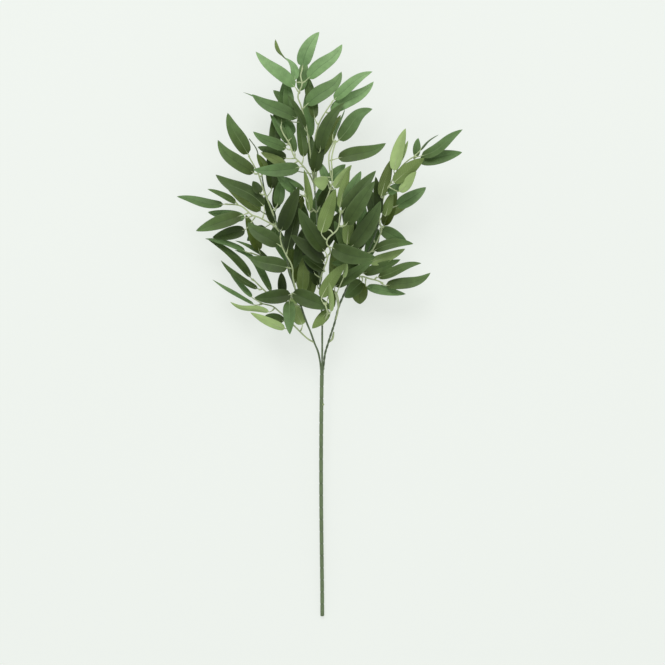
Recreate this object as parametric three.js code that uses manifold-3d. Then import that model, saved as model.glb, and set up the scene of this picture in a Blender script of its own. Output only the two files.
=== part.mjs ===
// An artificial ruscus bunch lying on a table: one main stem that forks into three
// branches, with leafy sprays seated along them. Millimetres, +Z up, cut end toward -Y.
// The origin is on the table, under the middle of the bunch.
import * as THREE from "three";
import { mergeVertices } from "three/addons/utils/BufferGeometryUtils.js";
import Module from "manifold-3d";

const wasm = await Module();
wasm.setup();

// Driving dimensions of the stems
const mainStemRadius = 2.8;
const branchRadius = { left: 1.5, centre: 1.5, right: 1.7 };
const twigRadius = 1.3;
const seatGap = 0.3;

// Edges shorter than this, left where leaves and twigs join, are closed up
const joinTolerance = 0.01;

// Places tried along a curve in the search for the one nearest to a point
const placesTried = 200;

const plasticRoughness = 0.55;
const fabricRoughness = 0.6;

// Driving dimensions of a leaf
const petioleRadius = 0.85;
const petioleStepBack = 4;
const ribHalfThickness = 0.45;
const floorLeafThickness = 0.9;
const cupPerHalfWidth = 0.12;
const archPerLength = 0.05;
const bladeStations = [0.1, 0.3, 0.55, 0.8];

// Exponents of the lanceolate outline, round at the base and pointed at the tip
const baseRoundness = 0.42;
const tipSharpness = 0.75;

// Number of flat sides and the length of one straight step along each kind of tube
const mainStemMesh = { sides: 10, step: 24 };
const branchMesh = { sides: 7, step: 14 };
const twigMesh = { sides: 5, step: 9 };

const colours = { mainStem: 0x5f7350, branch: 0x55644a, spray: 0x567a45 };

// Routes of the main stem and of the three branches, from the cut end upward
const mainStemRoute = [
  [4, -440, 2.9], [3.8, -400, 6], [3, -330, 12.5], [2.4, -260, 19.5],
  [2.3, -190, 27], [2.8, -120, 35], [3.6, -66, 41.6],
];

const branchRoutes = {
  left: [
    [2, -65, 40.7], [1, -55, 41.9], [-2, -39, 45], [-8, -24, 48], [-14, -7, 51], [-19, 5, 53],
    [-35, 52, 60], [-43, 76, 64], [-47, 94, 66], [-58, 135, 68], [-64, 154, 68], [-74, 180, 66],
    [-82, 202, 62], [-86, 223, 58], [-91, 250, 52], [-95, 267, 49], [-106, 283, 47],
  ],
  centre: [
    [3.8, -65, 43.8], [3.8, -55, 45.2], [4, -38, 49], [4, -10, 55], [4, 8, 59], [1, 60, 70],
    [-2, 112, 79], [-4, 165, 78], [-7, 203, 75], [-10, 230, 72],
  ],
  right: [
    [5.6, -65, 40.7], [6.6, -54, 42], [8.5, -40, 44], [13, -25, 47], [17, -12, 50], [22, 3, 53],
    [29, 30, 57], [38, 51, 60], [49, 75, 63], [68, 105, 66], [79, 127, 65], [88, 154, 62],
    [91, 188, 58],
  ],
};

// One leaf: where the blade begins and ends, its width, how far the midrib bows to the right
// of base to tip, and the turn of its face about the midrib at the base and at the tip
function leaf(base, tip, width, bow = 0, roll = 0, tipRoll = roll) {
  return { base, tip, width, bow, roll, tipRoll, onFloor: false };
}

// A leaf that lies flat on the table
function floorLeaf(base, tip, width) {
  return { base, tip, width, bow: 0, roll: 0, tipRoll: 0, onFloor: true };
}

// Each spray: the branch that carries it, the route of its twig and its leaves
const sprays = {
  spray_crown: {
    host: "centre",
    route: [
      [-9, 222, 73], [-11, 234, 78], [-14, 262, 82], [-20, 300, 88], [-25, 320, 90], [-28, 331, 92],
      [-32, 342, 92], [-31, 349, 93], [-26, 361, 94], [-28, 375, 94], [-25, 386, 94],
    ],
    leaves: [
      leaf([-25, 389, 94], [0, 437, 124], 23, -5, 8),
      leaf([-17, 370, 95], [34, 422, 86], 22, 3, -12),
      leaf([-37, 358, 93], [-95, 410, 98], 20, -2, 12),
      leaf([-19, 331, 93], [33, 381, 86], 24, 5, -10),
      leaf([-46, 322, 84], [-49, 368, 78], 17, 0, 12),
      leaf([-15, 284, 66], [-20, 352, 58], 18, 0, 4),
      leaf([-37, 368, 90], [-66, 430, 80], 16, -2, 0, 165),
      leaf([-29, 352, 86], [-22, 404, 46], 17, 0, 10),
      leaf([-34, 318, 76], [-70, 357, 34], 18, 0, 15),
      leaf([-34, 311, 88], [-101, 348, 74], 21, -3, 10),
      leaf([-22, 295, 100], [-47, 344, 112], 15, 0, 45),
      leaf([-44, 308, 74], [-116, 353, 50], 14, 0, 70),
    ],
  },
  spray_crown_right: {
    host: "centre",
    route: [
      [-7, 203, 75], [-7, 222, 82], [-7, 240, 86], [-7, 262, 88], [-6, 283, 92], [-3, 295, 96],
      [0, 304, 98], [8, 318, 102], [14, 327, 103], [20, 335, 104],
    ],
    leaves: [
      leaf([22, 338, 104], [79, 379, 114], 18, -3, -10),
      leaf([17, 320, 100], [81, 366, 90], 21, 4, -14),
      leaf([-7, 311, 90], [-22, 384, 62], 17, 0, 12),
      leaf([1, 262, 105], [37, 333, 110], 20, -7, -8),
      leaf([-8, 230, 97], [4, 300, 97], 20, 0, 10),
      leaf([-10, 236, 70], [-14, 291, 56], 14, 0, 6),
    ],
  },
  spray_crown_left: {
    host: "centre",
    route: [
      [-9, 214, 74], [-14, 226, 79], [-22, 237, 83], [-30, 246, 85], [-37, 253, 86], [-41, 262, 87],
      [-44, 272, 88], [-49, 280, 88], [-54, 288, 88], [-57, 295, 88], [-58, 300, 87],
    ],
    leaves: [
      leaf([-57, 304, 82], [-53, 371, 56], 18, 0, 10),
      leaf([-47, 274, 80], [-74, 318, 76], 14, 0, 20),
      leaf([-37, 261, 80], [-53, 308, 72], 12, 1, 25),
      leaf([-50, 266, 88], [-99, 291, 94], 17, -3, 12),
      leaf([-30, 238, 96], [-99, 234, 98], 21, -4, 8),
      leaf([-68, 264, 68], [-66, 326, 48], 18, 0, 5),
      leaf([-50, 252, 76], [-93, 270, 62], 16, 0, 10),
      leaf([-50, 240, 84], [-88, 261, 74], 14, 0, 12),
      leaf([-24, 254, 80], [-33, 312, 68], 16, 1, 15),
      leaf([-39, 288, 70], [-60, 320, 54], 17, 0, 10),
    ],
  },
  spray_heart: {
    host: "centre",
    route: [
      [-3, 150, 79], [3, 168, 90], [8, 183, 100], [14, 198, 108], [19, 214, 113], [16, 230, 116],
      [14, 246, 118], [15, 258, 118], [19, 268, 118], [24, 277, 118],
    ],
    leaves: [
      leaf([20, 284, 120], [38, 322, 130], 12, -2, 72),
      leaf([29, 277, 118], [79, 323, 120], 24, -5, -10),
      leaf([28, 250, 116], [99, 273, 106], 22, 4, -8),
      leaf([22, 206, 114], [48, 240, 116], 14, 0, 190),
      leaf([1, 222, 124], [5, 202, 112], 22, 0, 185),
      leaf([14, 218, 100], [39, 242, 94], 16, 0, -6),
      leaf([12, 214, 98], [0, 246, 92], 13, 0, 6),
    ],
  },
  spray_inner: {
    host: "centre",
    route: [[-4, 170, 78], [-12, 178, 86], [-18, 188, 90], [-22, 198, 91]],
    leaves: [
      leaf([-15, 172, 92], [-23, 234, 98], 13, 0, 150),
      leaf([-23, 203, 89], [-52, 224, 88], 10, -1, 40),
      leaf([-37, 202, 84], [-64, 226, 86], 16, 0, 10),
      leaf([-26, 196, 62], [-58, 146, 50], 20, 0, 0),
      leaf([0, 178, 86], [13, 212, 92], 15, 0, 10),
    ],
  },
  spray_left_tip: {
    host: "left",
    route: [
      [-68, 166, 67], [-76, 185, 73], [-83, 202, 77], [-88, 218, 79], [-92, 230, 81],
      [-97, 239, 83], [-102, 248, 84], [-106, 255, 85],
    ],
    leaves: [
      leaf([-98, 230, 83], [-152, 279, 84], 22, -7, 10),
      leaf([-107, 258, 85], [-137, 319, 92], 23, -4, 12),
      leaf([-89, 199, 80], [-100, 218, 72], 14, 0, 10),
      leaf([-72, 207, 58], [-74, 272, 40], 18, 0, 8),
      leaf([-80, 234, 72], [-94, 259, 66], 13, 0, 20),
      leaf([-63, 182, 72], [-57, 222, 66], 17, 0, 8),
    ],
  },
  spray_left_upper: {
    host: "left",
    route: [
      [-60, 142, 68], [-68, 151, 72], [-82, 159, 74], [-92, 164, 75], [-101, 167, 76],
      [-107, 172, 77], [-115, 179, 78], [-123, 182, 79], [-141, 183, 80],
    ],
    leaves: [
      leaf([-144, 183, 80], [-214, 195, 72], 16, -4, 25),
      leaf([-125, 185, 81], [-167, 205, 96], 12, 0, 35),
      leaf([-117, 166, 84], [-185, 143, 80], 22, 0, 8),
      leaf([-112, 163, 70], [-168, 172, 60], 17, -1, 8),
      leaf([-84, 181, 70], [-156, 228, 66], 23, 1, 10),
      leaf([-112, 145, 66], [-161, 134, 60], 20, -1, 8),
    ],
  },
  spray_left_middle: {
    host: "left",
    route: [[-46, 88, 65], [-58, 94, 62], [-74, 101, 59], [-90, 106, 57], [-104, 111, 56]],
    leaves: [
      leaf([-91, 114, 58], [-111, 168, 58], 18, 0, 10),
      leaf([-112, 113, 56], [-172, 132, 62], 14, 0, 50),
      leaf([-76, 100, 52], [-127, 129, 62], 14, 0, 60),
    ],
  },
  spray_left_lower: {
    host: "left",
    route: [
      [-27, 30, 57], [-45, 36, 54], [-65, 43, 52], [-79, 51, 51], [-88, 59, 50], [-101, 72, 49],
    ],
    leaves: [
      leaf([-104, 74, 49], [-168, 131, 54], 14, 4, 30),
      leaf([-93, 57, 50], [-149, 100, 44], 13, -7, 40),
      leaf([-73, 52, 58], [-128, 115, 44], 14, 8, 40),
      leaf([-56, 48, 48], [-58, 82, 28], 14, 0, 8),
    ],
  },
  spray_left_foot: {
    host: "left",
    route: [
      [-8, -24, 48], [-17, -19, 52], [-25, -12, 56], [-33, -4, 59], [-40, 3, 60], [-46, 9, 60],
      [-52, 15, 60], [-60, 22, 60], [-70, 30, 59], [-80, 33, 56], [-90, 35, 53],
    ],
    leaves: [
      leaf([-76, 22, 64], [-134, 37, 72], 12, -5, 140),
      leaf([-52, -3, 66], [-104, 21, 64], 14, -2, 165),
      leaf([-54, 8, 52], [-82, 17, 38], 15, 0, 20),
      leaf([-26, 3, 60], [-46, 47, 36], 19, 0, 190),
      leaf([-102, 44, 45], [-137, 84, 30], 12, -3, 45),
      leaf([-99, 33, 50], [-162, 71, 42], 14, -5, 62),
    ],
  },
  spray_left_sprout: {
    host: "left",
    route: [[-32, 44, 59], [-38, 46, 66], [-43, 46, 72]],
    leaves: [
      leaf([-45, 38, 74], [-44, -12, 98], 19, 0, 8),
      leaf([-43, 48, 76], [-98, 43, 66], 22, -2, 8),
      leaf([-40, 50, 78], [20, 27, 84], 25, 0, 6),
    ],
  },
  spray_left_front: {
    host: "left",
    route: [
      [-36, 56, 60], [-38, 65, 70], [-40, 75, 76], [-40, 85, 80], [-43, 95, 83], [-47, 102, 85],
      [-52, 111, 87], [-56, 120, 88], [-58, 128, 89], [-59, 135, 90],
    ],
    leaves: [
      leaf([-48, 88, 85], [-106, 105, 78], 24, -3, 8),
      leaf([-61, 122, 92], [-107, 156, 86], 24, -3, 6),
      leaf([-57, 143, 92], [-30, 209, 96], 23, 0, -8),
      leaf([-48, 114, 82], [-30, 186, 74], 20, 0, -4),
    ],
  },
  spray_front_low: {
    host: "centre",
    route: [[0, 66, 71], [4, 80, 84], [8, 90, 95], [11, 98, 103], [13, 106, 109]],
    leaves: [
      leaf([8, 112, 112], [-31, 176, 116], 24, -3, 8),
      leaf([7, 96, 105], [-43, 137, 100], 20, 0, 8),
      leaf([7, 84, 91], [-26, 106, 78], 18, 0, 8),
      leaf([-7, 79, 83], [-25, 118, 62], 17, 0, 8),
    ],
  },
  spray_front_high: {
    host: "centre",
    route: [
      [0, 98, 77], [9, 103, 90], [16, 110, 104], [15, 117, 115], [11, 123, 119], [12, 129, 121],
      [16, 134, 122], [21, 138, 124],
      [26, 143, 126], [29, 150, 128], [30, 160, 130], [32, 172, 131],
    ],
    leaves: [
      leaf([19, 117, 122], [84, 103, 118], 27, 5, 6),
      leaf([3, 139, 128], [24, 204, 138], 22, 0, 188),
      leaf([40, 151, 133], [82, 215, 143], 24, 0, -8),
      leaf([37, 178, 126], [62, 231, 116], 19, 0, -8),
      leaf([30, 176, 130], [45, 238, 124], 14, 0, 190),
      leaf([35, 171, 130], [84, 231, 130], 21, 0, -8),
    ],
  },
  spray_right_front: {
    host: "right",
    route: [[59, 92, 65], [57, 99, 80], [52, 108, 96], [48, 116, 104]],
    leaves: [
      leaf([47, 118, 108], [91, 187, 106], 26, 5, -6),
      leaf([41, 122, 106], [48, 186, 104], 17, 0, 190),
      leaf([58, 116, 88], [78, 178, 84], 19, 0, -6),
      leaf([46, 108, 92], [22, 158, 84], 19, 0, 6),
    ],
  },
  spray_right_tip: {
    host: "right",
    route: [
      [89, 160, 61], [91, 172, 72], [94, 185, 82], [98, 200, 91], [104, 210, 96], [110, 220, 100],
      [117, 231, 103], [126, 242, 105], [136, 250, 106], [144, 254, 106],
    ],
    leaves: [
      leaf([152, 254, 108], [213, 293, 112], 17, 4, -15),
      leaf([149, 246, 103], [213, 260, 96], 21, 1, -10),
      leaf([144, 253, 100], [148, 282, 82], 12, -1, 10),
      leaf([150, 262, 106], [178, 286, 98], 12, -5, 78),
      leaf([111, 214, 110], [156, 250, 124], 21, -1, 188),
      leaf([119, 201, 104], [144, 230, 120], 15, 1, 186),
      leaf([111, 232, 112], [128, 294, 122], 19, -1, 190),
      leaf([113, 240, 102], [132, 277, 104], 11, 0, 140),
      leaf([92, 194, 97], [108, 250, 108], 17, 0, 190),
      leaf([102, 199, 89], [127, 215, 92], 14, 0, -6),
    ],
  },
  spray_right_upper: {
    host: "right",
    route: [[90, 172, 60], [96, 174, 62], [103, 177, 64], [110, 180, 66]],
    leaves: [
      leaf([116, 181, 68], [160, 209, 66], 21, 2, -8),
      leaf([99, 166, 74], [109, 200, 84], 15, 0, 188),
    ],
  },
  spray_right_middle: {
    host: "right",
    route: [
      [70, 110, 66], [78, 113, 70], [84, 123, 73], [89, 134, 76], [93, 144, 78], [91, 153, 79],
      [89, 163, 80],
    ],
    leaves: [
      leaf([82, 114, 70], [141, 124, 64], 16, -5, -12),
      leaf([92, 147, 74], [132, 126, 54], 20, 0, 8),
      leaf([89, 168, 82], [84, 224, 92], 15, 0, 8),
    ],
  },
  spray_right_lower: {
    host: "right",
    route: [[56, 86, 64], [64, 89, 60], [71, 90, 57]],
    leaves: [
      leaf([75, 96, 58], [129, 117, 52], 16, 1, 170),
      leaf([66, 80, 53], [122, 101, 46], 16, 0, 8),
      leaf([64, 90, 54], [18, 96, 46], 18, 0, 6),
    ],
  },
  spray_right_side: {
    host: "right",
    route: [[47, 71, 62], [57, 75, 62], [65, 75, 60], [75, 72, 58], [87, 69, 57], [96, 65, 56]],
    leaves: [
      leaf([88, 74, 60], [153, 95, 68], 15, -1, -15),
      leaf([100, 62, 56], [167, 81, 52], 18, 7, -15),
      leaf([71, 60, 52], [130, 49, 44], 15, 2, -15),
      leaf([64, 68, 51], [38, 44, 28], 23, 0, 6),
      leaf([60, 68, 42], [61, 34, 12], 26, 0, 6),
    ],
  },
  spray_right_foot: {
    host: "right",
    route: [[24, 10, 54], [27, 20, 60], [28, 29, 67], [26, 40, 74], [23, 52, 79]],
    leaves: [
      leaf([24, 60, 80], [80, 98, 82], 18, 0, -8),
      leaf([36, 73, 92], [41, 95, 100], 8, 0, 150),
    ],
  },
  spray_centre_foot: {
    host: "centre",
    route: [[4, 2, 57], [7, 8, 68], [10, 14, 80], [12, 21, 91], [10, 29, 95], [8, 36, 95]],
    leaves: [
      leaf([3, 43, 94], [40, 94, 102], 19, -3, 186),
      leaf([14, 24, 72], [-11, -3, 84], 16, 0, 188),
      leaf([17, 22, 95], [14, 66, 110], 11, 0, 140),
      leaf([17, 56, 70], [22, 29, 66], 12, 0, 10),
    ],
  },
  spray_back_left: {
    host: "left",
    route: [[-28, 34, 57], [-29, 40, 46], [-30, 48, 38], [-31, 58, 32]],
    leaves: [
      leaf([-35, 66, 36], [-50, 136, 44], 19, 0, 6),
      leaf([-26, 52, 40], [-22, 116, 44], 19, 0, 0),
      leaf([-15, 46, 32], [-9, 112, 24], 18, 0, 0),
    ],
  },
  spray_back_centre: {
    host: "centre",
    route: [[3, 32, 64], [3, 40, 54], [2, 50, 46], [2, 60, 41]],
    leaves: [
      leaf([-3, 62, 42], [-14, 130, 36], 20, 0, 4),
      leaf([20, 68, 38], [24, 132, 28], 14, 0, -4),
    ],
  },
  spray_back_high: {
    host: "centre",
    route: [[-3, 132, 79], [-4, 138, 66], [-8, 144, 56], [-13, 149, 50]],
    leaves: [
      leaf([-20, 150, 50], [-44, 212, 40], 20, 0, 4),
      leaf([-18, 150, 48], [-38, 86, 52], 20, 0, 4),
      leaf([-8, 152, 56], [2, 212, 50], 19, 0, 0),
      leaf([3, 118, 60], [33, 174, 62], 22, 0, -4),
    ],
  },
  spray_back_right: {
    host: "right",
    route: [[66, 102, 66], [65, 108, 52], [62, 115, 43], [58, 121, 38]],
    leaves: [
      leaf([54, 127, 36], [34, 190, 28], 19, 0, 4),
      leaf([64, 124, 44], [66, 190, 38], 19, 0, 0),
      leaf([58, 110, 46], [12, 146, 44], 19, 0, 4),
    ],
  },
  spray_under_left: {
    host: "left",
    route: [
      [-62, 148, 68], [-66, 154, 50], [-72, 162, 30], [-79, 169, 12], [-84, 172, 3],
    ],
    leaves: [
      floorLeaf([-90, 176, 0], [-146, 219, 0], 19),
      leaf([-70, 150, 36], [-46, 94, 14], 19, 0, 0),
      leaf([-69, 155, 46], [-83, 197, 36], 14, 0, 8),
      leaf([-82, 150, 34], [-110, 130, 26], 18, 0, 0),
      leaf([-66, 178, 24], [-60, 232, 8], 16, 0, 0),
    ],
  },
  spray_under_right: {
    host: "right",
    route: [[87, 150, 62], [89, 156, 46], [92, 162, 28], [95, 166, 12], [97, 167, 3]],
    leaves: [
      floorLeaf([103, 170, 0], [150, 203, 0], 17),
      leaf([86, 160, 34], [72, 215, 14], 18, 0, 0),
      leaf([97, 152, 44], [116, 206, 38], 18, 0, 6),
      leaf([86, 150, 30], [70, 96, 10], 19, 0, 0),
    ],
  },
  spray_under_top: {
    host: "centre",
    route: [[-7, 206, 74], [-6, 216, 55], [-5, 228, 36], [-4, 242, 18], [-3, 252, 3]],
    leaves: [
      floorLeaf([-1, 259, 0], [32, 322, 0], 18),
      leaf([-36, 235, 30], [-84, 238, 14], 16, 0, 0),
      leaf([4, 222, 44], [30, 170, 20], 18, 0, 0),
    ],
  },
};

// Small moulded stubs: a nub on the main stem and a bud beside the right branch
const mainStemNub = { centre: [5.6, -118, 36], radius: 2 };
const branchBud = { route: [[14, -24, 47], [19, -19, 47], [21.5, -8, 47]], radius: 1.5 };

function vector(point) {
  return new THREE.Vector3(...point);
}

function solidOf(geometry) {
  const bare = geometry.clone();
  bare.deleteAttribute("normal");
  bare.deleteAttribute("uv");
  const merged = mergeVertices(bare, 1e-4);
  return new wasm.Manifold(new wasm.Mesh({
    numProp: 3,
    vertProperties: new Float32Array(merged.attributes.position.array),
    triVerts: new Uint32Array(merged.index.array),
  }));
}

function curveThrough(points) {
  return new THREE.CatmullRomCurve3(points.map(vector), false, "centripetal");
}

function tube(curve, radius, { sides, step }) {
  const section = new THREE.Shape();
  for (let side = 0; side < sides; side += 1) {
    const angle = (2 * Math.PI * side) / sides;
    const x = radius * Math.cos(angle);
    const y = radius * Math.sin(angle);
    if (side === 0) {
      section.moveTo(x, y);
    } else {
      section.lineTo(x, y);
    }
  }
  section.closePath();
  const steps = Math.max(3, Math.round(curve.getLength() / step));
  return solidOf(new THREE.ExtrudeGeometry(section, { steps, bevelEnabled: false, extrudePath: curve }));
}

// The point of a curve that lies nearest to a given point, with its place along the curve
function nearestOn(curve, point) {
  let best = { distance: Infinity };
  for (let sample = 0; sample <= placesTried; sample += 1) {
    const along = sample / placesTried;
    const place = curve.getPointAt(along);
    const distance = place.distanceTo(point);
    if (distance < best.distance) {
      best = { distance, along, place };
    }
  }
  return best;
}

// Half width of a blade at a place from 0 at its base to 1 at its tip, as a share of the widest
function outline(along) {
  const widestAt = baseRoundness / (baseRoundness + tipSharpness);
  const widest = widestAt ** baseRoundness * (1 - widestAt) ** tipSharpness;
  return (along ** baseRoundness * (1 - along) ** tipSharpness) / widest;
}

// Directions across a blade: its side and the way its upper face looks
function bladeFrame(tangent, rollDegrees) {
  const face = new THREE.Vector3(0, 0, 1).projectOnPlane(tangent).normalize();
  face.applyAxisAngle(tangent, THREE.MathUtils.degToRad(rollDegrees));
  const side = new THREE.Vector3().crossVectors(tangent, face).normalize();
  return { side, face };
}

// The four corners of a section: left edge, upper rib, right edge, lower rib
function sectionCorners(centre, frame, halfWidth, cup, upper, lower) {
  const { side, face } = frame;
  return [
    centre.clone().addScaledVector(side, -halfWidth).addScaledVector(face, cup),
    centre.clone().addScaledVector(face, upper),
    centre.clone().addScaledVector(side, halfWidth).addScaledVector(face, cup),
    centre.clone().addScaledVector(face, -lower),
  ];
}

// A closed body through four-cornered sections that ends in a point. The upper and the lower
// face are split along the same diagonals, so a thin blade never crosses itself
function loftToPoint(sections, tip) {
  const points = sections.flat().concat([tip]);
  const triangles = [[0, 2, 1], [0, 3, 2]];
  for (let ring = 0; ring + 1 < sections.length; ring += 1) {
    const [l, t, r, b] = [0, 1, 2, 3].map((corner) => ring * 4 + corner);
    const [nl, nt, nr, nb] = [l, t, r, b].map((corner) => corner + 4);
    triangles.push([l, t, nt], [l, nt, nl], [t, r, nt], [r, nr, nt]);
    triangles.push([r, b, nb], [r, nb, nr], [b, l, nb], [l, nl, nb]);
  }
  const last = (sections.length - 1) * 4;
  for (let corner = 0; corner < 4; corner += 1) {
    triangles.push([last + corner, last + ((corner + 1) % 4), points.length - 1]);
  }
  return new wasm.Manifold(new wasm.Mesh({
    numProp: 3,
    vertProperties: new Float32Array(points.flatMap((point) => point.toArray())),
    triVerts: new Uint32Array(triangles.flat()),
  }));
}

// One leaf with its petiole, which starts inside the twig
function leafSolid(shape, twig) {
  const base = vector(shape.base);
  const tip = vector(shape.tip);
  const chord = tip.clone().sub(base);
  const chordFrame = bladeFrame(chord.clone().normalize(), (shape.roll + shape.tipRoll) / 2);
  const acrossView = new THREE.Vector3(chord.y, -chord.x, 0).normalize();
  const arch = shape.onFloor ? 0 : archPerLength * chord.length();
  const control = base.clone().add(tip).multiplyScalar(0.5);
  control.addScaledVector(acrossView, 2 * shape.bow);
  control.addScaledVector(chordFrame.face, 2 * arch);
  const midrib = new THREE.QuadraticBezierCurve3(base, control, tip);

  const nearest = nearestOn(twig, base);
  const twigLength = twig.getLength();
  const rootAlong = Math.max(0, nearest.along - petioleStepBack / twigLength);
  const root = twig.getPointAt(rootAlong);
  const petiole = base.clone().sub(root).normalize();
  const start = midrib.getTangent(0);
  const bend = petiole.clone().add(start).normalize();

  const sections = [
    [root, bladeFrame(petiole, shape.roll), petioleRadius, 0, petioleRadius, petioleRadius],
    [base, bladeFrame(bend, shape.roll), petioleRadius, 0, petioleRadius, petioleRadius],
  ];
  if (shape.onFloor) {
    sections[1][5] = 0;
  }
  for (const along of bladeStations) {
    const centre = midrib.getPoint(along);
    const roll = THREE.MathUtils.lerp(shape.roll, shape.tipRoll, along);
    const frame = bladeFrame(midrib.getTangent(along), roll);
    const halfWidth = (shape.width / 2) * outline(along);
    const cup = shape.onFloor ? 0 : cupPerHalfWidth * halfWidth;
    const upper = shape.onFloor ? floorLeafThickness : ribHalfThickness;
    const lower = shape.onFloor ? 0 : ribHalfThickness;
    sections.push([centre, frame, halfWidth, cup, upper, lower]);
  }
  return loftToPoint(sections.map((section) => sectionCorners(...section)), tip);
}

function meshOf(name, solid, colour, roughness) {
  const { vertProperties, triVerts } = solid.getMesh();
  const geometry = new THREE.BufferGeometry();
  geometry.setAttribute("position", new THREE.BufferAttribute(vertProperties, 3));
  geometry.setIndex(new THREE.BufferAttribute(triVerts, 1));
  geometry.computeVertexNormals();
  const material = new THREE.MeshStandardMaterial({ color: colour, roughness, metalness: 0 });
  const mesh = new THREE.Mesh(geometry, material);
  mesh.name = name;
  return mesh;
}

function mainStem() {
  const nub = new THREE.SphereGeometry(mainStemNub.radius, 8, 6);
  nub.translate(...mainStemNub.centre);
  return tube(curveThrough(mainStemRoute), mainStemRadius, mainStemMesh).add(solidOf(nub));
}

function branch(side) {
  const solid = tube(curveThrough(branchRoutes[side]), branchRadius[side], branchMesh);
  if (side !== "right") {
    return solid;
  }
  return solid.add(tube(curveThrough(branchBud.route), branchBud.radius, twigMesh));
}

// The space that a spray keeps clear of: its branch, grown by the gap of the seat
function branchClearance(side) {
  return tube(curveThrough(branchRoutes[side]), branchRadius[side] + seatGap, branchMesh);
}

function spraySolid({ host, route, leaves }) {
  const seat = nearestOn(curveThrough(branchRoutes[host]), vector(route[0])).place;
  const twig = curveThrough([seat.toArray(), ...route.slice(1)]);
  let solid = tube(twig, twigRadius, twigMesh);
  for (const shape of leaves) {
    solid = solid.add(leafSolid(shape, twig));
  }
  return solid.subtract(branchClearance(host)).simplify(joinTolerance);
}

const group = new THREE.Group();
group.add(meshOf("main_stem", mainStem(), colours.mainStem, plasticRoughness));
for (const side of ["left", "centre", "right"]) {
  group.add(meshOf(`branch_${side}`, branch(side), colours.branch, plasticRoughness));
}
for (const [name, spray] of Object.entries(sprays)) {
  group.add(meshOf(name, spraySolid(spray), colours.spray, fabricRoughness));
}

export default group;
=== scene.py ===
"""The looks of an artificial ruscus bunch that lies on a table.

One moulded main stem forks into three branch stems. Leafy sprays are seated along them, each a
pale moulded twig with fabric leaves in its sockets. Layout values are in millimetres, as in the
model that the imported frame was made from, and every mesh is in metres.
"""

import logging
import math
from dataclasses import dataclass, field
from enum import Enum
from typing import Any, Sequence

import bpy
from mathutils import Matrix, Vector


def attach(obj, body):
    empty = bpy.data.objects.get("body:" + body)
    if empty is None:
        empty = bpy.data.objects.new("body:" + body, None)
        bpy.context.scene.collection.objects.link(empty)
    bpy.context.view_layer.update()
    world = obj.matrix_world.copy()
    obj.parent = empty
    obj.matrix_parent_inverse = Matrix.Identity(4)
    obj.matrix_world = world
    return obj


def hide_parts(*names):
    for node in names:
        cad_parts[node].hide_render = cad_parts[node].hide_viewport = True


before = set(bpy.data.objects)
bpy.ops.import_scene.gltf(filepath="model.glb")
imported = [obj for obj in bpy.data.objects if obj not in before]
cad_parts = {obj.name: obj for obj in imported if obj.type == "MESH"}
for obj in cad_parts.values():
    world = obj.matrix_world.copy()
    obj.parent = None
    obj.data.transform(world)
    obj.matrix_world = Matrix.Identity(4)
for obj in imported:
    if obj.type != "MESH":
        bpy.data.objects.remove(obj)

log = logging.getLogger("ruscus")

Point = tuple[float, float, float]
Colour = tuple[float, float, float]
Sockets = bpy.types.bpy_prop_collection

MM = 0.001
# Octaves of the fine noises
FINE_DETAIL = 3.0

# How much brighter a leaf is seen under the studio light than its own colour
LIGHT_GAIN = 1.09
# The least that a leaf's colour is given in red, green or blue
DARKEST_LEAF_COLOUR = 0.004
# What the gloss of a leaf adds to its red, green and blue
GLOSS_VEIL = (0.009, 0.009, 0.014)


class Tone(Enum):
    """A leaf's upper face: the tone near its tip and near its base, in steps of 0 to 255. They are lit and
    shaded copies of the leaves' green: the darker tones are painted shade for leaves inside the bunch, the
    crown tones painted light, and each lighter, bluer tip partly print, partly painted sheen.
    """

    CREST = ((160, 196, 138), (130, 165, 112))
    CROWN = ((146, 180, 126), (118, 152, 98))
    BRIGHT = ((122, 152, 102), (95, 124, 76))
    FRESH = ((104, 134, 86), (82, 104, 62))
    MID = ((98, 124, 76), (72, 88, 48))
    DUSK = ((86, 108, 66), (64, 80, 46))
    DEEP = ((72, 92, 54), (54, 68, 36))
    DARK = ((60, 76, 42), (46, 58, 28))
    SHADE = ((46, 60, 30), (34, 44, 16))
    OLIVE = ((96, 116, 60), (80, 94, 40))
    MOSS = ((122, 140, 84), (108, 126, 72))


class Back(Enum):
    """A leaf's underside, in steps of 0 to 255. They are lit and shaded copies of one pale underside: the
    dimmer ones are painted shade for undersides inside the bunch.
    """

    LIGHT = (166, 190, 126)
    SOFT = (148, 170, 110)
    DIM = (118, 139, 82)
    LOW = (100, 117, 68)


class Host(Enum):
    """The branch stem that a spray is seated on."""

    LEFT = "left"
    CENTRE = "centre"
    RIGHT = "right"


@dataclass(frozen=True)
class Leaf:
    """One leaf: where its blade begins and ends, and how it bows, turns and hooks at its tip."""

    base: Point
    tip: Point
    width: float
    bow: float = 0.0
    roll: float = 0.0
    tip_roll: float | None = None
    hook: float = 0.0
    tone: Tone = Tone.MID
    back: Back = Back.DIM
    on_floor: bool = False

    @property
    def last_roll(self) -> float:
        """The turn of the face at the tip, in degrees."""
        return self.roll if self.tip_roll is None else self.tip_roll


@dataclass(frozen=True)
class SprayPlan:
    """The layout of one spray: its branch, its twig, its leaves, empty sockets and side strands."""

    host: Host
    route: tuple[Point, ...]
    leaves: tuple[Leaf, ...]
    stubs: tuple[tuple[Point, Point], ...] = ()
    strands: tuple[tuple[Point, ...], ...] = ()


@dataclass(frozen=True)
class BranchPlan:
    """The layout of one branch stem: its route, its radius, and how its strands wind and taper."""

    route: tuple[Point, ...]
    radius: float = 1.5
    strand_depth: float = 0.12
    strand_turns: float = 20.0
    tip_taper: float = 0.8


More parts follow.
